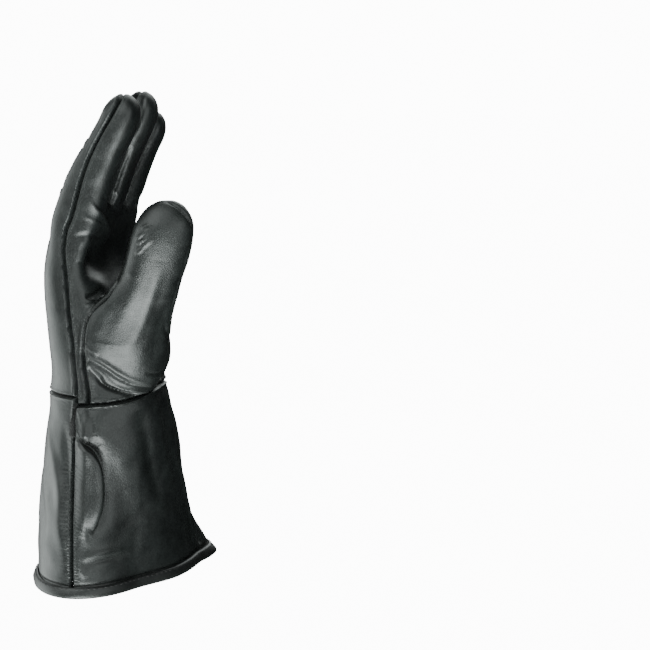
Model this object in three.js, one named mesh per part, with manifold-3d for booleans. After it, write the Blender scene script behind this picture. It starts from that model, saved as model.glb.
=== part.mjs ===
// A black leather gauntlet glove for the left hand, in the shape it has when it is worn.
// It stands upright: the cuff's open hem is below and the fingers point up.
//
// Frame: millimetres. The origin is the middle of the hem's opening.
//   +Z runs from the hem to the fingertips, +X to the palm side, +Y to the little finger's side.
//
// The glove is sewn from panels, and each panel is one mesh here:
//   hand_back      the back of the hand with the backs of the four fingers
//   hand_palm      the palm with the fronts of the four fingers
//   fourchette_... the strip between two fingers, one for each of the three gaps
//   thumb          the set-in thumb with the ball of the thumb
//   cuff_back      the flared cuff's back panel
//   cuff_palm      the flared cuff's palm panel
//   hem_back, hem_palm   the binding folded over each cuff panel's lower edge
//
// The hand is worked out as one hollow form: solid fingers, palm and thumb are lofted and joined,
// the same forms one wall smaller are taken out of them, and the shell is cut along its seams.

import * as THREE from "three";
import { mergeVertices } from "three/addons/utils/BufferGeometryUtils.js";
import Module from "manifold-3d";

const wasm = await Module();
wasm.setup();

// Driving dimensions

const WALL = 2.0; // lined leather
const SEAM_GAP = 0.36; // open width of a cut between two panels
const SPLIT_Z_BACK = 118; // height of the wrist seam on the back panel
const SPLIT_Z_PALM = 113.5; // and on the palm panel, which is cut a little longer
const HAND_TURN = THREE.MathUtils.degToRad(8); // the hand is turned on the cuff, its little finger side backwards
const THUMB_TURN = THREE.MathUtils.degToRad(27); // the flat of the thumb faces between the thumb side and the palm
const FINGER_HALF_WIDTH = 10.9;
const HEM_HEIGHT = 6.5; // visible height of the binding
const HEM_LEATHER = 1.1; // thickness of the binding's leather
const HEM_PLAY = 0.4; // clearance between the binding and the cuff inside it
const CUFF_FOOT = HEM_LEATHER + HEM_PLAY; // the binding's lowest point is the hem's plane, z = 0

// Number of facets: the hidden inside is coarser than the outside.

const facets = {
  outside: { palm: 28, finger: 13, thumb: 18, fingerSteps: 8 },
  inside: { palm: 18, finger: 8, thumb: 12, fingerSteps: 5 },
};
const facetsFor = (inset) => (inset > 0 ? facets.inside : facets.outside);

// Small tools

const interpolate = (a, b, t) => a + (b - a) * t;

// A smooth value between the rows of a table, at a height z that one of its columns gives.
function valueAt(rows, column, z) {
  const points = rows.map((row) => new THREE.Vector3(row.z, row[column], 0));
  const last = points.length - 1;
  if (z <= points[0].x) return points[0].y;
  if (z >= points[last].x) return points[last].y;
  let i = 0;
  while (z > points[i + 1].x) i += 1;
  const before = points[Math.max(i - 1, 0)];
  const after = points[Math.min(i + 2, last)];
  const [start, end] = [points[i], points[i + 1]];
  const step = end.x - start.x;
  const t = (z - start.x) / step;
  const slopeStart = ((end.y - before.y) / (end.x - before.x)) * step;
  const slopeEnd = ((after.y - start.y) / (after.x - start.x)) * step;
  const t2 = t * t;
  const t3 = t2 * t;
  return (
    (2 * t3 - 3 * t2 + 1) * start.y +
    (t3 - 2 * t2 + t) * slopeStart +
    (3 * t2 - 2 * t3) * end.y +
    (t3 - t2) * slopeEnd
  );
}

// An oval outline: half sizes may differ to either side, and a power over 2 squares it.
function ovalPoint(angle, front, back, right, left, power) {
  const c = Math.cos(angle);
  const s = Math.sin(angle);
  const x = Math.sign(c) * Math.abs(c) ** (2 / power) * (c > 0 ? front : back);
  const y = Math.sign(s) * Math.abs(s) ** (2 / power) * (s > 0 ? right : left);
  return [x, y];
}

// A closed solid through rings of points that all run anticlockwise seen from the last ring.
function loft(rings) {
  const sides = rings[0].length;
  const positions = rings.flat().flatMap((p) => [p.x, p.y, p.z]);
  const indices = [];
  for (let r = 0; r + 1 < rings.length; r += 1) {
    for (let k = 0; k < sides; k += 1) {
      const [a, b] = [r * sides + k, r * sides + ((k + 1) % sides)];
      const [c, d] = [a + sides, b + sides];
      indices.push(a, b, d, a, d, c);
    }
  }
  const addCap = (ring, first, facingUp) => {
    const middle = ring.reduce((sum, p) => sum.add(p), new THREE.Vector3()).divideScalar(sides);
    const centre = positions.length / 3;
    positions.push(middle.x, middle.y, middle.z);
    for (let k = 0; k < sides; k += 1) {
      const [a, b] = [first + k, first + ((k + 1) % sides)];
      indices.push(...(facingUp ? [a, b, centre] : [b, a, centre]));
    }
  };
  addCap(rings[0], 0, false);
  addCap(rings.at(-1), (rings.length - 1) * sides, true);
  const geometry = new THREE.BufferGeometry();
  geometry.setAttribute("position", new THREE.Float32BufferAttribute(positions, 3));
  geometry.setIndex(indices);
  return solidOf(geometry);
}

// A closed geometry as a manifold solid, ready for joins and cuts.
function solidOf(geometry) {
  const bare = geometry.clone();
  bare.deleteAttribute("normal");
  bare.deleteAttribute("uv");
  const merged = mergeVertices(bare, 1e-4);
  return new wasm.Manifold(
    new wasm.Mesh({
      numProp: 3,
      vertProperties: new Float32Array(merged.attributes.position.array),
      triVerts: new Uint32Array(merged.index.array),
    }),
  );
}

function geometryOf(solid) {
  const mesh = solid.getMesh();
  const geometry = new THREE.BufferGeometry();
  geometry.setAttribute("position", new THREE.BufferAttribute(mesh.vertProperties, 3));
  geometry.setIndex(new THREE.BufferAttribute(mesh.triVerts, 1));
  return geometry;
}

const joinAll = (solids) => solids.reduce((sum, solid) => sum.add(solid));

// A point given in the hand's own directions: p to its palm, q to its little finger's side.
function inHand(p, q, z) {
  const [c, s] = [Math.cos(HAND_TURN), Math.sin(HAND_TURN)];
  return new THREE.Vector3(p * c - q * s, p * s + q * c, z);
}

// The palm: one row for each level section, in the hand's own directions.
// Its lowest sections are the cuff's own, so that hand and cuff meet along the wrist seam.

const CROTCH_LEAN = 7; // the palm's top is this much lower beside the little finger than beside the index

const palmSections = [
  { z: 108, cuff: 1, back: -30, palm: 29, radial: -53, ulnar: 26, power: 2.2 },
  { z: 118, cuff: 1, back: -30, palm: 29, radial: -53, ulnar: 26, power: 2.2 },
  { z: 130, cuff: 0.5, back: -31, palm: 27, radial: -54.5, ulnar: 28, power: 2.3 },
  { z: 148, cuff: 0, back: -31.5, palm: 24, radial: -55.5, ulnar: 30, power: 2.5 },
  { z: 168, cuff: 0, back: -31.5, palm: 15, radial: -56.5, ulnar: 32, power: 2.7 },
  { z: 188, cuff: 0, back: -31.5, palm: 8, radial: -57, ulnar: 32.5, power: 2.8 },
  { z: 204, cuff: 0, back: -29, palm: 8.5, radial: -56.5, ulnar: 32, power: 2.9 },
  { z: 216, cuff: 0, back: -25, palm: 11, radial: -56, ulnar: 31, power: 3 },
  { z: 226, cuff: 0, back: -19, palm: 12, radial: -55, ulnar: 30, power: 3 },
  { z: 232, cuff: 0, back: -12, palm: 10, radial: -53, ulnar: 28, power: 3 },
];

function palmForm(inset) {
  const sides = facetsFor(inset).palm;
  const rings = palmSections.map((section, index) => {
    const isTop = index === palmSections.length - 1;
    const height = section.z - (isTop ? inset : 0);
    const middleP = (section.back + section.palm) / 2;
    const middleQ = (section.radial + section.ulnar) / 2;
    const halfP = (section.palm - section.back) / 2 - inset;
    const halfQ = (section.ulnar - section.radial) / 2 - inset;
    return Array.from({ length: sides }, (_, k) => {
      const share = k / sides;
      const [x, y] = ovalPoint(2 * Math.PI * share, halfP, halfP, halfQ, halfQ, section.power);
      const lean = CROTCH_LEAN * THREE.MathUtils.smoothstep(section.z, 180, 232);
      const lower = (lean * (middleQ + y - section.radial)) / (section.ulnar - section.radial);
      const onPalm = inHand(middleP + x, middleQ + y, height - lower);
      const onCuff = cuffPoint(Math.min(height, SPLIT_Z_BACK), 360 * share, inset).setZ(height);
      return onPalm.lerp(onCuff, section.cuff);
    });
  });
  return loft(rings);
}

// The heel of the hand: the cushion below the little finger, beside the ball of the thumb.

const heelSections = [
  { z: 108, middleP: 8, middleQ: -6, halfP: 15, halfQ: 20 },
  { z: 118, middleP: 9, middleQ: -5, halfP: 17, halfQ: 22 },
  { z: 126, middleP: 10, middleQ: -4, halfP: 21, halfQ: 25 },
  { z: 135, middleP: 11, middleQ: -3, halfP: 23, halfQ: 27 },
  { z: 146, middleP: 11, middleQ: -2, halfP: 22.5, halfQ: 28 },
  { z: 157, middleP: 9, middleQ: -1, halfP: 20, halfQ: 27 },
  { z: 169, middleP: 4, middleQ: 0, halfP: 18, halfQ: 24 },
  { z: 182, middleP: -4, middleQ: 0, halfP: 14, halfQ: 19 },
];

function heelForm(inset) {
  const sides = facetsFor(inset).thumb;
  const rings = heelSections.map((section) =>
    Array.from({ length: sides }, (_, k) => {
      const angle = (2 * Math.PI * k) / sides;
      const halfP = section.halfP - inset;
      const halfQ = section.halfQ - inset;
      const [x, y] = ovalPoint(angle, halfP, halfP, halfQ, halfQ, 2.1);
      return inHand(section.middleP + x, section.middleQ + y, section.z);
    }),
  );
  return loft(rings);
}

// The fingers: all four bend along nearly one line, seen from the thumb's side.
// half is the half thickness from back to front, across the finger.

const fingerLine = [
  { z: 200, p: -10, half: 13.5 },
  { z: 218, p: -6.5, half: 14.8 },
  { z: 232, p: -2.8, half: 13.8 },
  { z: 243, p: 1, half: 13.1 },
  { z: 254, p: 6, half: 12.1 },
  { z: 264, p: 11.4, half: 11 },
  { z: 276, p: 18.2, half: 10.5 },
  { z: 286, p: 22.3, half: 10.2 },
  { z: 300, p: 25, half: 9.8 },
];

// tip is the height of the fingertip, and palmward moves the whole finger to the palm.
const fingers = [
  { name: "index", q: -45, tip: 295, palmward: 0, slim: 1.02 },
  { name: "middle", q: -22.4, tip: 295, palmward: 3.4, slim: 1.02 },
  { name: "ring", q: 0, tip: 282, palmward: 6.4, slim: 1 },
  { name: "little", q: 20.6, tip: 266, palmward: 0, slim: 0.9 },
];
const FINGER_ROOT_Z = 200;

function middleOf(finger, z) {
  const leaving = THREE.MathUtils.smoothstep(z, 215, 240);
  return valueAt(fingerLine, "p", z) + finger.palmward * leaving;
}

function fingerForm(finger, inset) {
  const length = finger.tip - FINGER_ROOT_Z;
  const tipRound = 13; // length of the rounded end
  const { finger: sides, fingerSteps: steps } = facetsFor(inset);
  const heightOf = (share) => FINGER_ROOT_Z + length * share;
  const rings = [];
  for (let step = 0; step <= steps + 3; step += 1) {
    const straight = step <= steps;
    const endShare = 1 - tipRound / length;
    const rounding = straight ? 0 : [0.5, 0.82, 0.985][step - steps - 1];
    const share = straight ? (endShare * step) / steps : interpolate(endShare, 1, rounding);
    const shrink = Math.sqrt(1 - rounding * rounding);
    const z = heightOf(share);
    const drop = inset * share; // the inner form ends one wall below the outer tip
    const rise = 2;
    const along = Math.atan2(
      valueAt(fingerLine, "p", z + rise) - valueAt(fingerLine, "p", z - rise),
      2 * rise,
    );
    const half = (valueAt(fingerLine, "half", z) * finger.slim - inset) * shrink;
    const width = (FINGER_HALF_WIDTH * finger.slim - inset) * shrink;
    const p = middleOf(finger, z);
    rings.push(
      Array.from({ length: sides }, (_, k) => {
        const angle = (2 * Math.PI * k) / sides;
        const [x, y] = ovalPoint(angle, half, half, width, width, 2.25);
        return inHand(p + x * Math.cos(along), finger.q + y, z - drop - x * Math.sin(along));
      }),
    );
  }
  return loft(rings);
}

// The thumb with its ball: u is measured to the right and s away from a viewer
// who faces the flat of the thumb.

const thumbSections = [
  { z: 106, left: -13, right: 19, near: -46, far: -14 },
  { z: 118, left: -15, right: 22, near: -47, far: -14 },
  { z: 130, left: -22, right: 27.5, near: -53, far: -14 },
  { z: 144, left: -26, right: 31, near: -58, far: -16 },
  { z: 158, left: -23, right: 32.5, near: -61.5, far: -22 },
  { z: 170, left: -15, right: 34.3, near: -65, far: -30 },
  { z: 180, left: -5.5, right: 36.7, near: -69, far: -38 },
  { z: 190, left: 2, right: 39.2, near: -72.5, far: -44 },
  { z: 200, left: 6, right: 42.2, near: -75.5, far: -48.5 },
  { z: 212, left: 9.2, right: 45, near: -78, far: -51.5 },
  { z: 221, left: 11.8, right: 45.6, near: -78.3, far: -53 },
  { z: 228, left: 16, right: 43.3, near: -76, far: -55.5 },
  { z: 233, left: 21.5, right: 39, near: -72, far: -60 },
  { z: 235.5, left: 27.5, right: 33.5, near: -67.5, far: -64.5 },
];

function thumbForm(inset) {
  const sides = facetsFor(inset).thumb;
  const [c, s] = [Math.cos(THUMB_TURN), Math.sin(THUMB_TURN)];
  const top = thumbSections.at(-1).z;
  const base = thumbSections[0].z;
  const rings = thumbSections.map((section, index) => {
    const share = (section.z - base) / (top - base);
    const middleU = (section.left + section.right) / 2;
    const middleS = (section.near + section.far) / 2;
    const keep = index === thumbSections.length - 1 ? 0.4 : 1;
    const halfU = Math.max((section.right - section.left) / 2 - inset * keep, 0.5);
    const halfS = Math.max((section.far - section.near) / 2 - inset * keep, 0.5);
    return Array.from({ length: sides }, (_, k) => {
      const angle = (2 * Math.PI * k) / sides;
      const [x, y] = ovalPoint(angle, halfU, halfU, halfS, halfS, 2.2);
      const u = middleU + x;
      const away = middleS + y;
      return new THREE.Vector3(u * c - away * s, u * s + away * c, section.z - inset * share);
    });
  });
  return loft(rings);
}

// The cuff: each row is a level section round the cuff's middle line at x, y.
// The other columns are how far the leather reaches from there in the directions below:
// the palm panel has one ridge, and beyond it the far corner flares out to the hem.

const cuffSections = [
  { z: 0, x: 0, y: 0, radial: 66, palmRadial: 40.5, palm: 40, ridge: 51, corner: 73, ulnar: 78, backUlnar: 58, back: 47, backRadial: 54 },
  { z: 8, x: 0, y: -1, radial: 63.5, palmRadial: 40, palm: 38.5, ridge: 48.5, corner: 67, ulnar: 75, backUlnar: 56, back: 44.5, backRadial: 51 },
  { z: 30, x: 1, y: -3, radial: 59, palmRadial: 40, palm: 36.5, ridge: 43.5, corner: 55.5, ulnar: 69, backUlnar: 52, back: 42, backRadial: 49.3 },
  { z: 60, x: 2, y: -7, radial: 52.5, palmRadial: 40, palm: 35.5, ridge: 40.6, corner: 47, ulnar: 59, backUlnar: 46.5, back: 38.5, backRadial: 46 },
  { z: 90, x: 3, y: -11, radial: 45.5, palmRadial: 39.5, palm: 34.5, ridge: 39.4, corner: 42, ulnar: 48, backUlnar: 40, back: 34.5, backRadial: 42.5 },
  { z: 110, x: 4, y: -13, radial: 41.5, palmRadial: 37, palm: 32.5, ridge: 35.5, corner: 36.5, ulnar: 42, backUlnar: 37, back: 31.5, backRadial: 39.5 },
  { z: 118, x: 4, y: -13, radial: 40.5, palmRadial: 36, palm: 31, ridge: 33, corner: 34.5, ulnar: 41, backUlnar: 36, back: 30.8, backRadial: 38.5 },
];

const cuffDirections = [
  { name: "palm", degrees: 0 },
  { name: "ridge", degrees: 39 },
  { name: "corner", degrees: 60 },
  { name: "ulnar", degrees: 90 },
  { name: "backUlnar", degrees: 135 },
  { name: "back", degrees: 180 },
  { name: "backRadial", degrees: 225 },
  { name: "radial", degrees: 270 },
  { name: "palmRadial", degrees: 315 },
];

// A deep fold stands on the palm panel beside the side seam. Its edge runs down the cuff,
// the leather rises to the edge from the seam's side and drops steeply beyond it.
const foldEdge = [
  { z: 36, degrees: 281, rise: 0 },
  { z: 44, degrees: 284, rise: 3 },
  { z: 58, degrees: 286.5, rise: 4.6 },
  { z: 72, degrees: 285, rise: 4.4 },
  { z: 82, degrees: 280.5, rise: 3.6 },
  { z: 92, degrees: 273, rise: 0 },
];
const FOLD_WIDTH = 15; // degrees over which the leather rises
const FOLD_DROP = 3.5; // degrees over which it drops again

function foldRise(z, degrees) {
  const past = degrees - valueAt(foldEdge, "degrees", z);
  const rise = valueAt(foldEdge, "rise", z);
  if (past <= 0) return rise * THREE.MathUtils.smoothstep(past, -FOLD_WIDTH, 0);
  return rise * (1 - THREE.MathUtils.smoothstep(past, 0, FOLD_DROP));
}

// The cuff's outline at a height, without the fold.
function cuffOutline(z, degrees) {
  const turned = ((degrees % 360) + 360) % 360;
  const count = cuffDirections.length;
  let k = count - 1;
  while (cuffDirections[k].degrees > turned) k -= 1;
  const around = [k - 1, k, k + 1, k + 2].map((n) => {
    const direction = cuffDirections[(n + count) % count];
    return {
      z: direction.degrees + 360 * Math.floor(n / count),
      reach: valueAt(cuffSections, direction.name, z),
    };
  });
  const reach = valueAt(around, "reach", turned);
  const angle = THREE.MathUtils.degToRad(turned);
  return new THREE.Vector3(
    valueAt(cuffSections, "x", z) + reach * Math.cos(angle),
    valueAt(cuffSections, "y", z) + reach * Math.sin(angle),
    z,
  );
}

// The cuff's surface, inset from its outer face along the outline's normal.
function cuffPoint(z, degrees, inset) {
  const along = cuffOutline(z, degrees + 1).sub(cuffOutline(z, degrees - 1));
  const normal = new THREE.Vector3(along.y, -along.x, 0).normalize();
  return cuffOutline(z, degrees).addScaledVector(normal, foldRise(z, degrees) - inset);
}

// Facets are closer together beside the fold and at the far corner, and two rows of them
// run along the fold's edge and its foot.
const FOLD_EDGE_FACET = 285;
const FOLD_FOOT_FACET = FOLD_EDGE_FACET + FOLD_DROP;
const FOLD_ZONE = { from: 256, to: 310 };
const cuffFacets = [
  ...[0, 8, 16, 24, 31, 37, 43, 49, 54, 59, 64, 70, 77, 84, 92, 102, 113, 124, 135, 146],
  ...[157, 169, 180, 191, 202, 213, 224, 235, 246, 256, 263, 269, 275, 280],
  ...[FOLD_EDGE_FACET, FOLD_FOOT_FACET, 294, 301.5, 310, 319, 328, 338, 349],
];
const CUFF_SIDES = cuffFacets.length;

function alongFold(degrees, z) {
  const edge = valueAt(foldEdge, "degrees", z);
  const { from, to } = FOLD_ZONE;
  if (degrees <= from || degrees >= to) return degrees;
  if (degrees <= FOLD_EDGE_FACET) {
    return interpolate(from, edge, (degrees - from) / (FOLD_EDGE_FACET - from));
  }
  if (degrees <= FOLD_FOOT_FACET) return degrees + edge - FOLD_EDGE_FACET;
  return interpolate(edge + FOLD_DROP, to, (degrees - FOLD_FOOT_FACET) / (to - FOLD_FOOT_FACET));
}

const cuffRing = (z, inset) =>
  cuffFacets.map((degrees) => cuffPoint(z, alongFold(degrees, z), inset));

const CUFF_LEVELS = [HEM_HEIGHT, 20, 34, 44, 54, 64, 73, 81, 88, 94, 104];

function cuffShell(bottom, top) {
  const levels = CUFF_LEVELS.filter((z) => z > bottom && z < top);
  const insideLevels = levels.filter((_, n) => n % 2 === 0); // the inside is coarser
  const outer = loft([bottom, ...levels, top].map((z) => cuffRing(z, 0)));
  const inner = [bottom, ...insideLevels, top].map((z) => cuffRing(z, WALL));
  const below = inner[0].map((p) => p.clone().setZ(bottom - 2));
  const above = inner.at(-1).map((p) => p.clone().setZ(top + 2));
  return outer.subtract(loft([below, ...inner, above]));
}

// The seams that part the shell

// The side seam's place from back to front on the thumb's side, seen from that side.
const thumbSideSeam = [
  { z: -20, x: 2 },
  { z: 60, x: 0.5 },
  { z: 120, x: 1 },
  { z: 145, x: 0.6 },
  { z: 173, x: -1.2 },
  { z: 188, x: -1.8 },
  { z: 206, x: -3.3 },
  { z: 217, x: -1.7 },
  { z: 225, x: 1.8 },
  { z: 247, x: 8.4 },
  { z: 260, x: 13.5 },
  { z: 273, x: 20.5 },
  { z: 285, x: 27.8 },
  { z: 300, x: 34 },
];
const LITTLE_SIDE_SHIFT = -10; // the same seam on the little finger's side lies further back
const FAR = 130;

// Everything behind the side seams, moved by shift to the palm.
function behindSeams(shift) {
  const across = [-FAR, -56, 32, FAR];
  const rows = thumbSideSeam.map((row) =>
    across.map((q) => {
      const share = THREE.MathUtils.clamp((q + 56) / 88, 0, 1);
      const high = THREE.MathUtils.smoothstep(row.z, 90, 150);
      return new THREE.Vector3(row.x + shift + LITTLE_SIDE_SHIFT * share * high, q, row.z);
    }),
  );
  const rings = rows.map((row) => [
    new THREE.Vector3(-FAR, -FAR, row[0].z),
    ...row,
    new THREE.Vector3(-FAR, FAR, row[0].z),
  ]);
  return loft(rings);
}

// The space of the thumb's leather: in front of its seam, on the thumb's side of the palm.
const thumbSeam = [
  { p: 1, z: 90 },
  { p: 1.2, z: 114 },
  { p: 0.7, z: 125 },
  { p: -0.8, z: 138 },
  { p: -0.5, z: 150 },
  { p: 1, z: 161 },
  { p: 4, z: 168.5 },
  { p: 9, z: 174 },
  { p: 15, z: 179 },
  { p: 20, z: 187 },
  { p: 23, z: 200 },
  { p: 24, z: 250 },
  { p: 140, z: 250 },
  { p: 140, z: 90 },
];
// How far across the palm the thumb's leather reaches, seen from the palm.
const thumbReach = [
  { q: -13, z: 90 },
  { q: -13, z: 142 },
  { q: -14.5, z: 154 },
  { q: -18, z: 164 },
  { q: -23.5, z: 173 },
  { q: -28, z: 181 },
  { q: -27, z: 190 },
  { q: -15, z: 205 },
  { q: -15, z: 250 },
  { q: -FAR, z: 250 },
  { q: -FAR, z: 90 },
];

function thumbSpace(grow) {
  const fromSide = new THREE.Shape(thumbSeam.map(({ p, z }) => new THREE.Vector2(p - grow, z)));
  const fromPalm = new THREE.Shape(thumbReach.map(({ q, z }) => new THREE.Vector2(q + grow, z)));
  const settings = { depth: 2 * FAR, bevelEnabled: false };
  const across = new THREE.ExtrudeGeometry(fromSide, settings);
  across.rotateX(Math.PI / 2); // the outline stands in the x, z plane, and runs across the hand
  across.translate(0, FAR, 0);
  const through = new THREE.ExtrudeGeometry(fromPalm, settings);
  through.rotateX(Math.PI / 2).rotateZ(Math.PI / 2); // in the y, z plane, from back to palm
  through.translate(-FAR, 0, 0);
  const [side, palm] = [across, through].map((geometry) => solidOf(geometry.rotateZ(HAND_TURN)));
  return side.intersect(palm);
}

// The space of the strip between two fingers, narrow at their tips.
function fourchetteSpace(first, second) {
  const top = Math.min(first.tip, second.tip) - 6;
  const bottom = 222;
  const steps = 5;
  const rings = Array.from({ length: steps + 1 }, (_, step) => {
    const z = interpolate(bottom, top, step / steps);
    const share = THREE.MathUtils.clamp((z - 236) / (top - 236), 0, 1);
    const half = interpolate(7.2, 1.8, share ** 1.6);
    const corner = (finger, side, inwards) =>
      inHand(middleOf(finger, z) - 1.5 + side * half, finger.q + inwards, z);
    return [corner(first, -1, 1), corner(first, 1, 1), corner(second, 1, -1), corner(second, -1, -1)];
  });
  return loft(rings);
}

// A flat-sided block between two heights, wide enough to hold any part of the glove.
function slab(bottom, top) {
  const geometry = new THREE.BoxGeometry(2 * FAR, 2 * FAR, top - bottom);
  geometry.translate(0, 0, (top + bottom) / 2);
  return solidOf(geometry);
}

// The hand's panels

const handForm = (inset) =>
  joinAll([
    palmForm(inset),
    heelForm(inset),
    thumbForm(inset),
    ...fingers.map((finger) => fingerForm(finger, inset)),
  ]);
const handShell = handForm(0).subtract(handForm(WALL));

const halfGap = SEAM_GAP / 2;
const spaces = [0, 1, 2].map((k) => fourchetteSpace(fingers[k], fingers[k + 1]));
const backSpace = behindSeams(-halfGap);
const frontOfSeams = behindSeams(halfGap);
const aboveBackSeam = slab(SPLIT_Z_BACK + SEAM_GAP, 320);
const abovePalmSeam = slab(SPLIT_Z_PALM + SEAM_GAP, 320);

const largest = (solid) => {
  const bodies = solid.decompose();
  return bodies.sort((a, b) => b.volume() - a.volume())[0];
};

const panels = {};
const fourchetteNames = ["index_middle", "middle_ring", "ring_little"];

// Each strip is cut out a seam gap wider than it is.
const grown = spaces.map((space) => {
  const moves = [-SEAM_GAP, SEAM_GAP];
  const sideways = joinAll(moves.map((move) => space.translate([move, 0, 0])));
  return joinAll(moves.map((move) => sideways.translate([0, 0, move])));
});
let panelShell = handShell;
grown.forEach((space) => {
  panelShell = panelShell.subtract(space);
});
const thumbOnly = thumbSpace(-halfGap);
const notThumb = thumbSpace(halfGap);

panels.hand_back = largest(panelShell.intersect(backSpace).subtract(notThumb).intersect(aboveBackSeam));
panels.hand_palm = largest(
  panelShell.subtract(frontOfSeams).subtract(notThumb).intersect(abovePalmSeam),
);
panels.thumb = largest(handShell.intersect(thumbOnly).intersect(abovePalmSeam));
spaces.forEach((space, k) => {
  panels[`fourchette_${fourchetteNames[k]}`] = largest(handShell.intersect(space));
});

// The cuff's panels

const backCuff = cuffShell(CUFF_FOOT, SPLIT_Z_BACK).intersect(backSpace);
const palmCuff = cuffShell(CUFF_FOOT, SPLIT_Z_PALM).subtract(frontOfSeams);
panels.cuff_back = largest(backCuff);
panels.cuff_palm = largest(palmCuff);

// The binding: a strip folded round the cuff's lower edge, as a U in section.
function bindingRing() {
  const outer = -HEM_PLAY - HEM_LEATHER;
  const outerInside = -HEM_PLAY;
  const innerInside = WALL + HEM_PLAY;
  const inner = WALL + HEM_PLAY + HEM_LEATHER;
  const floor = CUFF_FOOT - HEM_PLAY;
  const outline = [
    { inset: outer, z: floor },
    { inset: outer, z: HEM_HEIGHT },
    { inset: outerInside, z: HEM_HEIGHT },
    { inset: outerInside, z: CUFF_FOOT },
    { inset: outerInside, z: floor },
    { inset: innerInside, z: floor },
    { inset: innerInside, z: CUFF_FOOT },
    { inset: innerInside, z: HEM_HEIGHT },
    { inset: inner, z: HEM_HEIGHT },
    { inset: inner, z: floor },
    { inset: WALL / 2, z: floor - HEM_LEATHER },
  ];
  const positions = [];
  const indices = [];
  outline.forEach(({ inset, z }) => {
    for (let k = 0; k < CUFF_SIDES; k += 1) {
      const level = Math.max(z, CUFF_FOOT);
      const p = cuffPoint(level, alongFold(cuffFacets[k], level), inset);
      positions.push(p.x, p.y, z);
    }
  });
  outline.forEach((_, row) => {
    const next = (row + 1) % outline.length;
    for (let k = 0; k < CUFF_SIDES; k += 1) {
      const after = (k + 1) % CUFF_SIDES;
      const [a, b] = [row * CUFF_SIDES + k, row * CUFF_SIDES + after];
      const [c, d] = [next * CUFF_SIDES + k, next * CUFF_SIDES + after];
      indices.push(a, b, d, a, d, c);
    }
  });
  const geometry = new THREE.BufferGeometry();
  geometry.setAttribute("position", new THREE.Float32BufferAttribute(positions, 3));
  geometry.setIndex(indices);
  return solidOf(geometry);
}

const binding = bindingRing();
panels.hem_back = largest(binding.intersect(backSpace));
panels.hem_palm = largest(binding.subtract(frontOfSeams));

// The glove

const leather = new THREE.MeshStandardMaterial({ color: 0x161818, roughness: 0.45, metalness: 0 });
const bindingLeather = new THREE.MeshStandardMaterial({ color: 0x121313, roughness: 0.5, metalness: 0 });

const glove = new THREE.Group();
glove.name = "gauntlet_glove";
Object.entries(panels).forEach(([name, solid]) => {
  const material = (name.startsWith("hem") ? bindingLeather : leather).clone();
  const mesh = new THREE.Mesh(geometryOf(solid), material);
  mesh.name = name;
  glove.add(mesh);
});

export default glove;
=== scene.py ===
# %% [markdown]
# # A leather gauntlet glove
#
# This lesson dresses a plain CAD glove in soft black leather. The CAD model says where the
# glove is and how big it is: the hem's opening is at the origin, +Z runs to the fingertips,
# +X to the palm side and +Y to the little finger's side. Everything below stays in that
# frame. It is loaded first, and its box is kept, so that the end can compare the sizes.

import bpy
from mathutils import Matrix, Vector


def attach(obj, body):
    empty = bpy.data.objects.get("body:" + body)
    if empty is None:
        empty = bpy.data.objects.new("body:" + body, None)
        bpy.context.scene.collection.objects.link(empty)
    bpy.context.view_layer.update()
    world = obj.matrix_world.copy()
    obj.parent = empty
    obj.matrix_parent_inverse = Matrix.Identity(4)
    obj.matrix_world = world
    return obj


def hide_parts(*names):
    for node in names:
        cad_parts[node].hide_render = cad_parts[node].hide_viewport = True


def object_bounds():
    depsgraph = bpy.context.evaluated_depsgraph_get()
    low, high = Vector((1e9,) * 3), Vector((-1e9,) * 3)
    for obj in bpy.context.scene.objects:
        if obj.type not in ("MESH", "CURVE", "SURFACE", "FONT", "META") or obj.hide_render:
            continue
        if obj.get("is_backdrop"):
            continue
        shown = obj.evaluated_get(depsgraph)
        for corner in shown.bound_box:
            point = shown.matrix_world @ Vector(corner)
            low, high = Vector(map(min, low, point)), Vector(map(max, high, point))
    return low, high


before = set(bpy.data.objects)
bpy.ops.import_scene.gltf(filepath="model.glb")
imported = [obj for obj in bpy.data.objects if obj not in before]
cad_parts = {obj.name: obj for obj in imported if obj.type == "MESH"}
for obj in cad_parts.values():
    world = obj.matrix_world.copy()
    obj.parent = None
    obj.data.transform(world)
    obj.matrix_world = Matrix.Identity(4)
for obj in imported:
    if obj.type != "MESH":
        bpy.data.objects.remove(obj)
cad_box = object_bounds()
print("CAD box:", [tuple(round(v, 4) for v in corner) for corner in cad_box])

# %% [markdown]
# ## Numbers and units
#
# Blender counts in metres, but a glove maker thinks in millimetres. The tables below are in
# millimetres, and one factor turns them into metres when a mesh gets its points. A table row
# is a height with what belongs to it, and a smooth curve runs through the rows, as a
# draughtsman's flexible strip would. The two lengths at the end are needed almost everywhere.

# %% Tables and smooth curves
import math

import bmesh
import bpy
import numpy as np
from mathutils import Vector
from mathutils.kdtree import KDTree

MM = 0.001


def between(t, start, slope_in, end, slope_out):
    """A smooth value from start to end while t goes from 0 to 1."""
    return ((2 * t**3 - 3 * t**2 + 1) * start + (t**3 - 2 * t**2 + t) * slope_in
            + (3 * t**2 - 2 * t**3) * end + (t**3 - t**2) * slope_out)


def curve(rows, column, z):
    """The smooth value of a table's column at each height z."""
    rows = np.asarray(rows, float)
    h, v = rows[:, 0], rows[:, column]
    z = np.clip(np.asarray(z, float), h[0], h[-1])
    i = np.clip(np.searchsorted(h, z, side="right") - 1, 0, len(h) - 2)
    before, after = np.maximum(i - 1, 0), np.minimum(i + 2, len(h) - 1)
    step = h[i + 1] - h[i]
    t = (z - h[i]) / step
    slope_in = (v[i + 1] - v[before]) / (h[i + 1] - h[before]) * step
    slope_out = (v[after] - v[i]) / (h[after] - h[i]) * step
    return between(t, v[i], slope_in, v[i + 1], slope_out)


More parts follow.
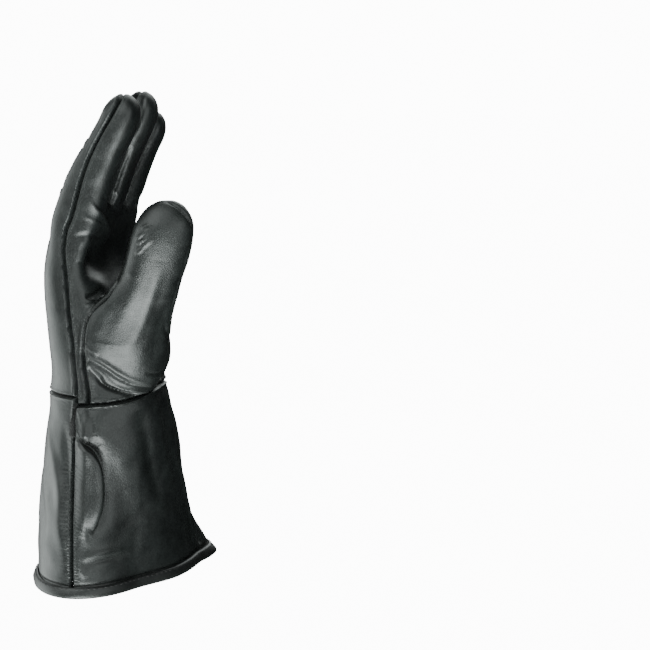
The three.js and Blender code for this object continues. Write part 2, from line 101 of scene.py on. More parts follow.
def ease(value, low, high):
    """0 below low, 1 above high, and smooth between them."""
    t = np.clip((np.asarray(value, float) - low) / (high - low), 0, 1)
    return t * t * (3 - 2 * t)


def band(value, rise, fall):
    """1 between two slopes and 0 outside them; each slope has a start and an end."""
    return ease(value, *rise) * (1 - ease(value, *fall))


def angles_of(sides):
    """Evenly spaced angles for one turn."""
    return 2 * np.pi * np.arange(sides) / sides


def oval(angle, half_x, half_y, power):
    """Points of an oval outline; a power over 2 squares it a little."""
    c, s = np.cos(angle), np.sin(angle)
    return np.sign(c) * abs(c) ** (2 / power) * half_x, np.sign(s) * abs(s) ** (2 / power) * half_y


HAND_TURN = math.radians(8)  # the hand is turned a little on the cuff
CUFF_TOP = 118               # the height at which the cuff ends and the hand begins
SLIM = 0.5                   # the hand's forms start this much too thin, and are blown up later


def in_hand(p, q, z):
    """A point given in the hand's own directions: p to the palm, q to the little finger."""
    c, s = math.cos(HAND_TURN), math.sin(HAND_TURN)
    return np.stack([p * c - q * s, p * s + q * c, z + 0 * p], axis=-1)


def hand_coordinates(points):
    """The same the other way round: p, q and z of points in the frame."""
    c, s = math.cos(HAND_TURN), math.sin(HAND_TURN)
    x, y, z = points.T
    return x * c + y * s, y * c - x * s, z


# %% [markdown]
# ## Camera
#
# The photograph was taken with a long lens from a little above. The camera stands about 27
# degrees round from the thumb's side towards the palm. A long lens keeps the glove's sides
# nearly parallel. The glove stands left of the picture's middle, so the camera is aimed past
# it instead of being shifted: a shifted lens would also move the object in every other view.

# %% Camera
CAMERA_PLACE = (0.5902, -1.1497, 0.3757)  # metres
CAMERA_AIM = (0.1194, 0.0415, 0.1537)
FILM_WIDTH, FOCAL_LENGTH = 36, 120        # millimetres

bpy.ops.object.camera_add(location=CAMERA_PLACE)
camera = bpy.context.object
camera.name = "photo_camera"
camera.data.sensor_width = FILM_WIDTH
camera.data.lens = FOCAL_LENGTH
line_of_sight = Vector(CAMERA_AIM) - camera.location
camera.rotation_euler = line_of_sight.to_track_quat("-Z", "Y").to_euler()
bpy.context.scene.camera = camera
print("camera is", round(camera.location.length, 3), "m from the hem")

# %% [markdown]
# ## Shader maths as sums
#
# The room's light and the leather both need a few patterns that are added, multiplied and
# clipped. Wiring Math nodes by hand is slow to read, so a small class wraps a socket: a sum
# written in Python adds the node that works it out. Every other node comes from one function
# that takes its type, its settings and what goes into its sockets.

# %% A socket that can be added and multiplied
class Wire:
    """A socket that takes part in sums, and adds the Math node for each of them."""

    def __init__(self, tree, socket):
        self.tree, self.socket = tree, socket

    def sum_with(self, operation, *values):
        return add_node(self.tree, "ShaderNodeMath", {"operation": operation}, dict(enumerate(values)))

    def sine(self):
        return self.sum_with("SINE", self)

    def __add__(self, other):
        return self.sum_with("ADD", self, other)

    def __radd__(self, other):
        return self.sum_with("ADD", other, self)

    def __sub__(self, other):
        return self.sum_with("SUBTRACT", self, other)

    def __mul__(self, other):
        return self.sum_with("MULTIPLY", self, other)


def add_node(tree, kind, settings, values, output=0):
    """Adds one node: its settings first, then the values or wires of its sockets."""
    node = tree.nodes.new(kind)
    for key, value in settings.items():
        if key == "stops":
            ramp = node.color_ramp
            while len(ramp.elements) < len(value):
                ramp.elements.new(0.5)
            for element, (position, colour) in zip(ramp.elements, value):
                element.position, element.color = position, (*colour, 1)
        else:
            setattr(node, key, value)
    for key, value in values.items():
        if isinstance(value, Wire):
            tree.links.new(value.socket, node.inputs[key])
        else:
            node.inputs[key].default_value = value
    return Wire(tree, node.outputs[output])


def fit(value, low, high, new_low, new_high, kind="LINEAR"):
    """Stretches low..high to new_low..new_high, and clips it there."""
    return add_node(value.tree, "ShaderNodeMapRange", {"clamp": True, "interpolation_type": kind}, {
        "Value": value, "From Min": low, "From Max": high, "To Min": new_low, "To Max": new_high})


# %% A finish for a piece
class Finish:
    """A material whose nodes are added one by one."""

    def __init__(self, name):
        self.material = bpy.data.materials.new(name)
        self.material.use_nodes = True
        self.tree = self.material.node_tree
        self.shader = self.tree.nodes["Principled BSDF"]
        self.place = self.node("ShaderNodeTexCoord", {}, {}, "Object")

    def node(self, kind, settings, values, output=0):
        return add_node(self.tree, kind, settings, values, output)

    def noise(self, size, detail=3, roughness=0.5, distortion=0.0):
        """Cloudy noise whose patches are about size millimetres wide."""
        return self.node("ShaderNodeTexNoise", {}, {
            "Vector": self.place, "Scale": 1 / (size * MM), "Detail": detail,
            "Roughness": roughness, "Distortion": distortion}, 0)

    def cells(self, size, feature="F1"):
        """The distance to the middle or the edge of cells about size millimetres wide."""
        return self.node("ShaderNodeTexVoronoi", {"feature": feature}, {
            "Vector": self.place, "Scale": 1 / (size * MM)}, "Distance")

    def axis(self, letter):
        """The place along one axis, in the piece's own coordinates."""
        return self.node("ShaderNodeSeparateXYZ", {}, {"Vector": self.place}, letter)

    def ramp(self, wire, dark, light):
        """A colour that goes from dark to light with a wire."""
        stops = [(0.0, dark), (1.0, light)]
        return self.node("ShaderNodeValToRGB", {"stops": stops}, {"Fac": wire}, "Color")

    def bump(self, height, size, strength):
        """A relief that is size millimetres high."""
        return self.node("ShaderNodeBump", {}, {
            "Strength": strength, "Distance": size * MM, "Height": height}, "Normal")

    def plug(self, **wires):
        for name, wire in wires.items():
            self.tree.links.new(wire.socket, self.shader.inputs[name.replace("_", " ").title()])


# %% [markdown]
# ## Floor and light
#
# The floor is a plain pale sweep that glows and lies well below the glove, so no shadow shows
# on it. It is a wide disc whose rim is extruded upwards in a few steps, like studio paper.
# Black leather has hardly any colour of its own: what the eye reads is the reflection of the
# bright things round it. A photographer hangs white panels where the leather should shine and
# keeps the white sweep out of its reflections with black flags. Here the room's background
# stands for the panels. Each row says in which direction a soft patch of light stands, how
# wide it is and how bright; the last row takes a little light away, as a flag does. The floor
# is hidden from reflections and casts no shadow, so the room's light reaches the glove.

# %% Floor
FLOOR_RADIUS, FLOOR_DEPTH = 12, 1.6  # metres
# how many times wider the rim gets with each step, and how many metres higher
SWEEP = [(1.2, 0.8), (1.12, 2), (1.06, 3), (1.02, 5), (1.0, 8)]
FLOOR_GLOW = 12


def deselect():
    if bpy.context.object and bpy.context.object.mode != "OBJECT":
        bpy.ops.object.mode_set(mode="OBJECT")
    bpy.ops.object.select_all(action="DESELECT")


deselect()
bpy.ops.mesh.primitive_circle_add(
    vertices=96, radius=FLOOR_RADIUS, fill_type="NGON", location=(0, 0, -FLOOR_DEPTH))
floor = bpy.context.object
floor.name = "floor"
bpy.ops.object.transform_apply(location=True)
bpy.ops.object.mode_set(mode="EDIT")
for wider, higher in SWEEP:
    bpy.ops.mesh.extrude_region_move(TRANSFORM_OT_translate={"value": (0, 0, higher)})
    bpy.ops.transform.resize(value=(wider, wider, 1))
bpy.ops.mesh.delete(type="ONLY_FACE")  # the lid that the extrusion carried up
bpy.ops.object.mode_set(mode="OBJECT")
floor.visible_diffuse = floor.visible_glossy = floor.visible_shadow = False
floor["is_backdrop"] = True


def floor_finish():
    finish = Finish("pale_floor")
    speckle = finish.noise(900, 3, 0.5)
    colour = finish.ramp(speckle, (0.93, 0.93, 0.93), (0.97, 0.97, 0.97))
    finish.plug(base_color=colour, emission_color=colour, roughness=0.85 + (speckle - 0.5) * 0.05)
    finish.shader.inputs["Emission Strength"].default_value = FLOOR_GLOW
    return finish.material


floor.data.materials.append(floor_finish())

# %% The room's soft panels
# name, degrees to the right of straight towards the thumb's side, degrees up, inner and outer
# radius of the patch in degrees, brightness
PANELS_OF_LIGHT = [
    ("left_panel", -86, -16, 10, 48, 3.0),
    ("front_low_panel", 20, -50, 4, 31, 13.0),
    ("low_panel", 0, -84, 5, 42, 3.0),
    ("top_panel", -15, 42, 5, 52, 2.8),
    ("right_panel", 62, 4, 4, 38, 1.9),
    ("back_panel", -160, 40, 8, 46, 2.2),
    ("black_flag", 170, -14, 15, 50, -0.03),
]
ROOM_GLOW, ROOM_TINT = 0.05, (0.93, 1, 0.98, 1)


def cosine(degrees):
    return math.cos(math.radians(degrees))


def room_light():
    room = bpy.data.worlds.new("room")
    bpy.context.scene.world = room
    room.use_nodes = True
    tree = room.node_tree
    direction = add_node(tree, "ShaderNodeTexCoord", {}, {}, "Generated")
    light = ROOM_GLOW
    for _, right, up, inner, outer, bright in PANELS_OF_LIGHT:
        a, b = math.radians(right), math.radians(up)
        towards = (math.sin(a) * math.cos(b), -math.cos(a) * math.cos(b), math.sin(b))
        nearness = add_node(tree, "ShaderNodeVectorMath", {"operation": "DOT_PRODUCT"},
                            {0: direction, 1: towards}, "Value")
        light = light + fit(nearness, cosine(outer), cosine(inner), 0, bright, "SMOOTHSTEP")
    background = tree.nodes["Background"]
    background.inputs["Color"].default_value = ROOM_TINT
    tree.links.new(light.socket, background.inputs["Strength"])


room_light()
print(len(PANELS_OF_LIGHT), "soft panels")

# %% [markdown]
# ## One closed form through rings
#
# Palm, heel, fingers and thumb all begin in the same way: a stack of level outlines. A circle
# is added for each outline, its points are set on the outline, and bridges between the
# circles make the skin. Metaballs would be quicker but can't follow an outline this closely.

# %% Rings and bridges
def loft(name, rings):
    """A closed form through rings of points in millimetres."""
    rings = np.asarray(rings, float)
    count, sides = rings.shape[:2]
    deselect()
    bpy.ops.mesh.primitive_circle_add(vertices=sides, location=(0, 0, 0))
    form = bpy.context.object
    form.name = form.data.name = name
    bpy.ops.object.mode_set(mode="EDIT")
    for _ in range(count - 1):
        bpy.ops.mesh.primitive_circle_add(vertices=sides, location=(0, 0, 0))
    bpy.ops.object.mode_set(mode="OBJECT")
    form.data.vertices.foreach_set("co", (rings * MM).ravel())
    form.data.update()
    bpy.ops.object.mode_set(mode="EDIT")
    bpy.ops.mesh.select_mode(type="EDGE")
    for ring in range(count - 1):
        bpy.ops.mesh.select_all(action="DESELECT")
        mesh = bmesh.from_edit_mesh(form.data)
        mesh.edges.ensure_lookup_table()
        for edge in mesh.edges[ring * sides:(ring + 2) * sides]:
            edge.select = True
        bmesh.update_edit_mesh(form.data)
        bpy.ops.mesh.bridge_edge_loops()
    bpy.ops.mesh.select_all(action="SELECT")
    bpy.ops.mesh.fill_holes(sides=0)
    bpy.ops.mesh.normals_make_consistent(inside=False)
    bpy.ops.object.mode_set(mode="OBJECT")
    return form


forms = []

# %% [markdown]
# ## The cuff's outline
#
# The cuff is a flared cone that is round at the wrist and wide at the hem, with one ridge
# towards the palm and one corner that flares far out. Each row of the table is a level
# outline: its middle, and how far the leather reaches from there in nine directions. The
# hand begins on the same outline, so this comes first.

# %% The cuff's outline
CUFF_DIRECTIONS = np.array([0, 39, 60, 90, 135, 180, 225, 270, 315], float)
# z, x, y, palm, ridge, corner, ulnar, back_ulnar, back, back_radial, radial, palm_radial
CUFF = [
    (0, 0, 0, 40, 51, 73, 78, 58, 47, 54, 66, 40.5),
    (8, 0, -1, 38.5, 48.5, 67, 75, 56, 44.5, 51, 63.5, 40),
    (30, 1, -3, 36.5, 43.5, 55.5, 69, 52, 42, 49.3, 59, 40),
    (60, 2, -7, 35.5, 40.6, 47, 59, 46.5, 38.5, 46, 52.5, 40),
    (90, 3, -11, 34.5, 39.4, 42, 48, 40, 34.5, 42.5, 45.5, 39.5),
    (110, 4, -13, 32.5, 35.5, 36.5, 42, 37, 31.5, 39.5, 41.5, 37),
    (118, 4, -13, 31, 33, 34.5, 41, 36, 30.8, 38.5, 40.5, 36),
]


def cuff_outline(z, degrees):
    """A point of the cuff's outline, for each height and direction."""
    z, degrees = np.broadcast_arrays(np.asarray(z, float), np.asarray(degrees, float))
    turned = degrees % 360
    count = len(CUFF_DIRECTIONS)
    reach = np.array([curve(CUFF, 3 + k, z) for k in range(count)])
    around = np.concatenate([CUFF_DIRECTIONS[-1:] - 360, CUFF_DIRECTIONS, CUFF_DIRECTIONS[:2] + 360])
    k = np.searchsorted(CUFF_DIRECTIONS, turned, side="right") - 1
    d = [around[k + n] for n in range(4)]
    r = [np.take_along_axis(reach, ((k - 1 + n) % count)[None], 0)[0] for n in range(4)]
    step = d[2] - d[1]
    t = (turned - d[1]) / step
    slope_in = (r[2] - r[0]) / (d[2] - d[0]) * step
    slope_out = (r[3] - r[1]) / (d[3] - d[1]) * step
    far = between(t, r[1], slope_in, r[2], slope_out)
    angle = np.radians(turned)
    return np.stack([curve(CUFF, 1, z) + far * np.cos(angle),
                     curve(CUFF, 2, z) + far * np.sin(angle), z], axis=-1)


def cuff_directions(z, degrees):
    """The directions along the outline and out of it, and the millimetres in one degree."""
    run = (cuff_outline(z, degrees + 1) - cuff_outline(z, degrees - 1)) / 2
    length = np.linalg.norm(run, axis=-1, keepdims=True)
    along = run / length
    out = np.stack([along[..., 1], -along[..., 0], 0 * along[..., 0]], axis=-1)
    return along, out, length[..., 0]


def cuff_point(z, degrees, inset=0.0):
    """A point of the cuff's outline, moved inwards by an inset."""
    _, out, _ = cuff_directions(z, degrees)
    return cuff_outline(z, degrees) - out * np.asarray(inset, float)[..., None]


def running_length(line):
    """How far each point of a line is from its start, along the line."""
    return np.concatenate([[0], np.cumsum(np.linalg.norm(np.diff(line, axis=0), axis=1))])


print("hem girth:", round(running_length(cuff_outline(0, np.arange(0, 361, 2)))[-1]), "mm")

# %% [markdown]
# ## The palm
#
# The palm is a flat oval that grows out of the cuff's outline. Above the wrist it slims from
# the front, because the palm of a worn glove is hollow, and its top is lower beside the little
# finger. Its last rings disappear inside the fingers.

# %% The palm
CROTCH_LEAN = 7  # how much lower the palm's top is beside the little finger
PALM_SIDES = 72
# z, share of the cuff, back, palm, radial, ulnar, power
PALM = [
    (108, 1, -30, 29, -53, 26, 2.2), (118, 1, -30, 29, -53, 26, 2.2),
    (130, 0.5, -31, 27, -54.5, 28, 2.3), (148, 0, -31.5, 24, -55.5, 30, 2.5),
    (168, 0, -31.5, 15, -56.5, 32, 2.7), (188, 0, -31.5, 8, -57, 32.5, 2.8),
    (204, 0, -29, 8.5, -56.5, 32, 2.9), (216, 0, -25, 11, -56, 31, 3),
    (226, 0, -19, 12, -55, 30, 3), (232, 0, -12, 10, -53, 28, 3),
]
levels = np.array([106, 110, 114, 118, 121, 124, 127, 130, 134, 139, 144, 149, 154, 160, 166,
                   172, 178, 184, 190, 196, 202, 208, 213, 218, 222, 226, 229, 232], float)
shares = np.arange(PALM_SIDES) / PALM_SIDES
rings = []
for z in levels:
    cuff, back, palm, radial, ulnar, power = (float(curve(PALM, c, z)) for c in range(1, 7))
    x, y = oval(2 * np.pi * shares, (palm - back) / 2 - SLIM, (ulnar - radial) / 2 - SLIM, power)
    q = (radial + ulnar) / 2 + y
    lower = CROTCH_LEAN * ease(z, 180, 232) * (q - radial) / (ulnar - radial)
    on_palm = in_hand((back + palm) / 2 + x, q, z - lower)
    on_cuff = cuff_point(min(z, CUFF_TOP) + 0 * shares, 360 * shares, SLIM + 0 * shares)
    on_cuff[:, 2] = z
    rings.append(on_palm + (on_cuff - on_palm) * min(max(cuff, 0), 1))
forms.append(loft("palm_form", rings))
print("palm:", len(rings), "rings")

# %% [markdown]
# ## The heel of the hand
#
# Beside the ball of the thumb, below the little finger, the hand has a second cushion. In the
# picture it shows as a small bulge behind the thumb, just over the wrist. It is a stack of
# ovals that sits half inside the palm.

# %% The heel
# z, middle p, middle q, half p, half q
HEEL = [
    (108, 8, -6, 15, 20), (118, 9, -5, 17, 22), (126, 10, -4, 21, 25), (135, 11, -3, 23, 27),
    (146, 11, -2, 22.5, 28), (157, 9, -1, 20, 27), (169, 4, 0, 18, 24), (182, -4, 0, 14, 19),
]
HEEL_SIDES, HEEL_STEP = 48, 3.7
angles = angles_of(HEEL_SIDES)
rings = []
for z in np.arange(HEEL[0][0], HEEL[-1][0] + 1, HEEL_STEP):
    p, q, half_p, half_q = (float(curve(HEEL, c, z)) for c in range(1, 5))
    x, y = oval(angles, half_p - SLIM, half_q - SLIM, 2.1)
    rings.append(in_hand(p + x, q + y, z))
forms.append(loft("heel_form", rings))
print("heel:", len(rings), "rings")

# %% [markdown]
# ## The fingers
#
# All four fingers bend forward along nearly one line, which a table gives as seen from the
# side. Each ring is tilted to stand square on that line, as slices of a bent tube would, and
# the last rings close quickly to make a round tip.

# %% The fingers
# z, p of the finger's middle line, half thickness
FINGER_LINE = [
    (200, -10, 13.5), (218, -6.5, 14.8), (232, -2.8, 13.8), (243, 1, 13.1), (254, 6, 12.1),
    (264, 11.4, 11), (276, 18.2, 10.5), (286, 22.3, 10.2), (300, 25, 9.8),
]
# name, q, height of the tip, how far it leans to the palm, slimness
FINGERS = [
    ("index", -45, 295, 0, 1.02), ("middle", -22.4, 295, 3.4, 1.02),
    ("ring", 0, 282, 6.4, 1.0), ("little", 20.6, 266, 0, 0.9),
]
FINGER_HALF_WIDTH = 10.9
FINGER_ROOT, TIP_ROUND = 200, 13
FINGER_SIDES, FINGER_RINGS = 32, 24
CLOSING = np.array([0.18, 0.36, 0.52, 0.66, 0.78, 0.87, 0.94, 0.985])  # how far the tip has closed


def finger_middle(q, z):
    """p of the fingers' middle line, for any place across the hand."""
    lean = np.interp(q, [f[1] for f in FINGERS], [f[3] for f in FINGERS])
    return curve(FINGER_LINE, 1, z) + lean * ease(z, 215, 240)


angles = angles_of(FINGER_SIDES)
for name, q, tip, lean, slimness in FINGERS:
    levels = [(z, 0.0) for z in np.linspace(FINGER_ROOT, tip - TIP_ROUND, FINGER_RINGS)]
    levels += [(tip - TIP_ROUND * (1 - closed), closed) for closed in CLOSING]
    rings = []
    for z, closed in levels:
        slope = math.atan2(float(curve(FINGER_LINE, 1, z + 2) - curve(FINGER_LINE, 1, z - 2)), 4)
        round_off = math.sqrt(1 - closed**2)
        half = (float(curve(FINGER_LINE, 2, z)) * slimness - SLIM) * round_off
        width = (FINGER_HALF_WIDTH * slimness - SLIM) * round_off
        x, y = oval(angles, half, width, 2.9)
        drop = SLIM * (z - FINGER_ROOT) / (tip - FINGER_ROOT)
        p = float(finger_middle(q, z))
        rings.append(in_hand(p + x * math.cos(slope), q + y, z - drop - x * math.sin(slope)))
    forms.append(loft(name + "_form", rings))
    print(name, "finger:", len(rings), "rings, tip at", tip, "mm")

# %% [markdown]
# ## The thumb
#
# The thumb grows out of its ball low on the palm and stands beside the fingers, with its flat
# side turned halfway between the thumb side and the palm. Its table is read by a viewer who
# faces that flat side: left and right edges, and the near and far faces.

# %% The thumb
THUMB_TURN = math.radians(27)
# z, left, right, near, far
THUMB = [
    (106, -13, 19, -46, -14), (118, -15, 22, -47, -14), (130, -22, 27.5, -53, -14),
    (144, -26, 31, -58, -16), (158, -23, 32.5, -61.5, -22), (170, -15, 34.3, -65, -30),
    (180, -5.5, 36.7, -69, -38), (190, 2, 39.2, -72.5, -44), (200, 6, 42.2, -75.5, -48.5),
    (212, 9.2, 45, -78, -51.5), (221, 11.8, 45.6, -78.3, -53), (228, 16, 43.3, -76, -55.5),
    (233, 21.5, 39, -72, -60), (235.5, 27.5, 33.5, -67.5, -64.5),
]


def facing_thumb(u, s, z):
    """A point given as the thumb's viewer sees it: u to the right and s away."""
    c, w = math.cos(THUMB_TURN), math.sin(THUMB_TURN)
    return np.stack([u * c - s * w, u * w + s * c, z + 0 * u], axis=-1)


def thumb_outline(z, angle, inset=0.0):
    left, right, near, far = (float(curve(THUMB, c, z)) for c in range(1, 5))
    x, y = oval(angle, max((right - left) / 2 - inset, 0.5), max((far - near) / 2 - inset, 0.5), 2.2)
    return facing_thumb((left + right) / 2 + x, (near + far) / 2 + y, z)


THUMB_SIDES = 48
THUMB_TIP = [221, 224, 227, 229.5, 231.5, 233, 234.4, 235.5]  # heights of the rings at the tip
angles = angles_of(THUMB_SIDES)
levels = list(np.arange(106, 220, 3.8)) + THUMB_TIP
rings = [thumb_outline(z - SLIM * (z > 200), angles, SLIM) for z in levels]
forms.append(loft("thumb_form", rings))
print("thumb:", len(rings), "rings")

# %% [markdown]
# ## One skin
#
# The forms overlap like lumps of clay. A voxel remesh pours one even skin over all of them,
# and a smoothing pass softens the places where they meet. The forms were made half a
# millimetre too thin, so that the narrow gaps between the fingers survive the remesh, and
# now the skin is blown up again by that much. The rim where the heel meets the palm is then
# smoothed much longer, through a vertex group, because it still shows the oval's outline.

# %% One skin over all the forms
VOXEL = 0.8  # millimetres
HEEL_RIM_Z = ((130, 142), (204, 222))  # heights where the long smoothing sets in and ends
HEEL_RIM_PASSES = 150


def select_only(*things):
    """Selects these objects alone; the last one is the active one."""
    deselect()
    for thing in things:
        thing.select_set(True)
    bpy.context.view_layer.objects.active = things[-1]


def apply_modifier(piece, kind, name, **settings):
    select_only(piece)
    modifier = piece.modifiers.new(name, kind)
    for key, value in settings.items():
        setattr(modifier, key, value)
    bpy.ops.object.modifier_apply(modifier=name)


def get_points(mesh):
    """The points of a mesh in millimetres, and its normals."""
    co = np.empty(len(mesh.vertices) * 3)
    mesh.vertices.foreach_get("co", co)
    normals = np.empty(len(mesh.vertices) * 3)
    mesh.vertices.foreach_get("normal", normals)
    return co.reshape(-1, 3) / MM, normals.reshape(-1, 3)


def set_points(mesh, points):
    mesh.vertices.foreach_set("co", (points * MM).ravel())
    mesh.update()


select_only(*forms[1:], forms[0])
bpy.ops.object.join()
hand = bpy.context.object
hand.name = hand.data.name = "hand_skin"
apply_modifier(hand, "REMESH", "one_skin", mode="VOXEL", voxel_size=VOXEL * MM, adaptivity=0.0)
apply_modifier(hand, "SMOOTH", "soften", factor=0.5, iterations=round(7 / VOXEL))
points, normals = get_points(hand.data)
set_points(hand.data, points + normals * SLIM)
p, q, z = hand_coordinates(points)
soft = ease(p, 0, 6) * ease(q, -26, -16) * band(z, *HEEL_RIM_Z) * ease(normals[:, 0], -0.2, 0.3)
group = hand.vertex_groups.new(name="heel_rim")
for level in (0.25, 0.5, 0.75, 1.0):
    group.add(np.where(abs(soft - level) <= 0.125)[0].tolist(), level, "REPLACE")
apply_modifier(hand, "SMOOTH", "heel_rim", factor=0.6, iterations=HEEL_RIM_PASSES,
               vertex_group="heel_rim")
print("hand skin:", len(hand.data.polygons), "faces")

# %% [markdown]
# ## Folds, creases and hollows
#
# Leather creases where the hand bends, and the creases are what make it leather. They could be
# painted in sculpt mode; here each is a row of a table, so that they can be repeated. A stroke
# is a line on the skin with a height and a width: above zero it raises a fold, below zero it
# presses a crease. A hollow is a place with a radius and a depth. Points near a stroke move
# along their normals, most at its middle and not at all at its ends.

# %% Sculpting with strokes
def near_line(points, normals, line):
    """Each point's distance to a line, where on the line that is, and on which side it lies."""
    line = np.asarray(line, float)
    steps = np.linalg.norm(np.diff(line, axis=0), axis=1)
    total, start = steps.sum(), 0.0
    best = np.full(len(points), 1e9)
    place, side = np.zeros(len(points)), np.zeros(len(points))
    for a, b, step in zip(line[:-1], line[1:], steps):
        t = np.clip((points - a) @ (b - a) / step**2, 0, 1)
        offset = points - a - t[:, None] * (b - a)
        distance = np.linalg.norm(offset, axis=1)
        nearer = distance < best
        best[nearer] = distance[nearer]
        place[nearer] = ((start + t * step) / total)[nearer]
        side[nearer] = np.einsum("ij,ij->i", np.cross(b - a, normals), offset)[nearer]
        start += step
    return best, place, side


def rounded(line, parts=6):
    """A smooth line through a few points."""
    line = np.asarray(line, float)
    run = running_length(line)
    rows = np.column_stack([run, line])
    at = np.linspace(0, run[-1], parts * (len(line) - 1) + 1)
    return np.stack([curve(rows, axis, at) for axis in (1, 2, 3)], axis=-1)


def sculpt(piece, strokes, hollows=(), calm=None):
    """Raises or presses the skin along strokes and at hollows; calm keeps some points still."""
    points, normals = get_points(piece.data)
    for height, left, right, line in strokes:
        line = rounded(line)
        reach = 3 * max(left, right)
        near = np.where(((points > line.min(0) - reach) & (points < line.max(0) + reach)).all(1))[0]
        if not len(near):
            continue
        distance, place, side = near_line(points[near], normals[near], line)
        width = np.where(side > 0, right, left)
        fade = np.maximum(np.sin(np.pi * place), 0) ** 0.6
        strength = height * np.exp(-(distance / width) ** 2) * fade
        if calm is not None:
            strength = strength * calm[near]
        points[near] += normals[near] * strength[:, None]
    palmward = in_hand(1.0, 0.0, 0.0)
    for depth, radius, centre in hollows:
        distance = np.linalg.norm((points - np.array(centre)) / np.array(radius), axis=1)
        facing = ease(normals @ palmward, -0.1, 0.5)
        points += palmward * (depth * np.exp(-distance**2) * facing)[:, None]
    set_points(piece.data, points)
    return len(strokes) + len(hollows)


def unevenness(points, size, seed):
    """Soft random swells, about -1 to 1, whose crests are roughly size millimetres apart."""
    rng = np.random.default_rng(seed)
    total = 0
    for _ in range(14):
        way = rng.normal(size=3)
        way /= np.linalg.norm(way)
        length = size * rng.uniform(0.6, 1.6)
        total = total + np.sin(points @ way * (2 * np.pi / length) + rng.uniform(0, 6.3))
    return total / 5


# depth, radius in x, y and z, centre
HOLLOWS = [
    (-9.0, (12, 13, 15), (11, -36, 200)),      # the hollow of the hand, behind the thumb
    (-6.0, (14, 26, 18), (11, -8, 204)),       # the same, under the other fingers
    (2.5, (8, 7, 5), (11.5, -40, 186)),        # a soft bump under it
    (-3.6, (9, 9, 6), (19, -47, 126)),         # the pocket between the thumb's ball and the wrist
    (-1.8, (7, 8, 13), (22, -56, 167)),        # a shallow valley beside the thumb seam
]
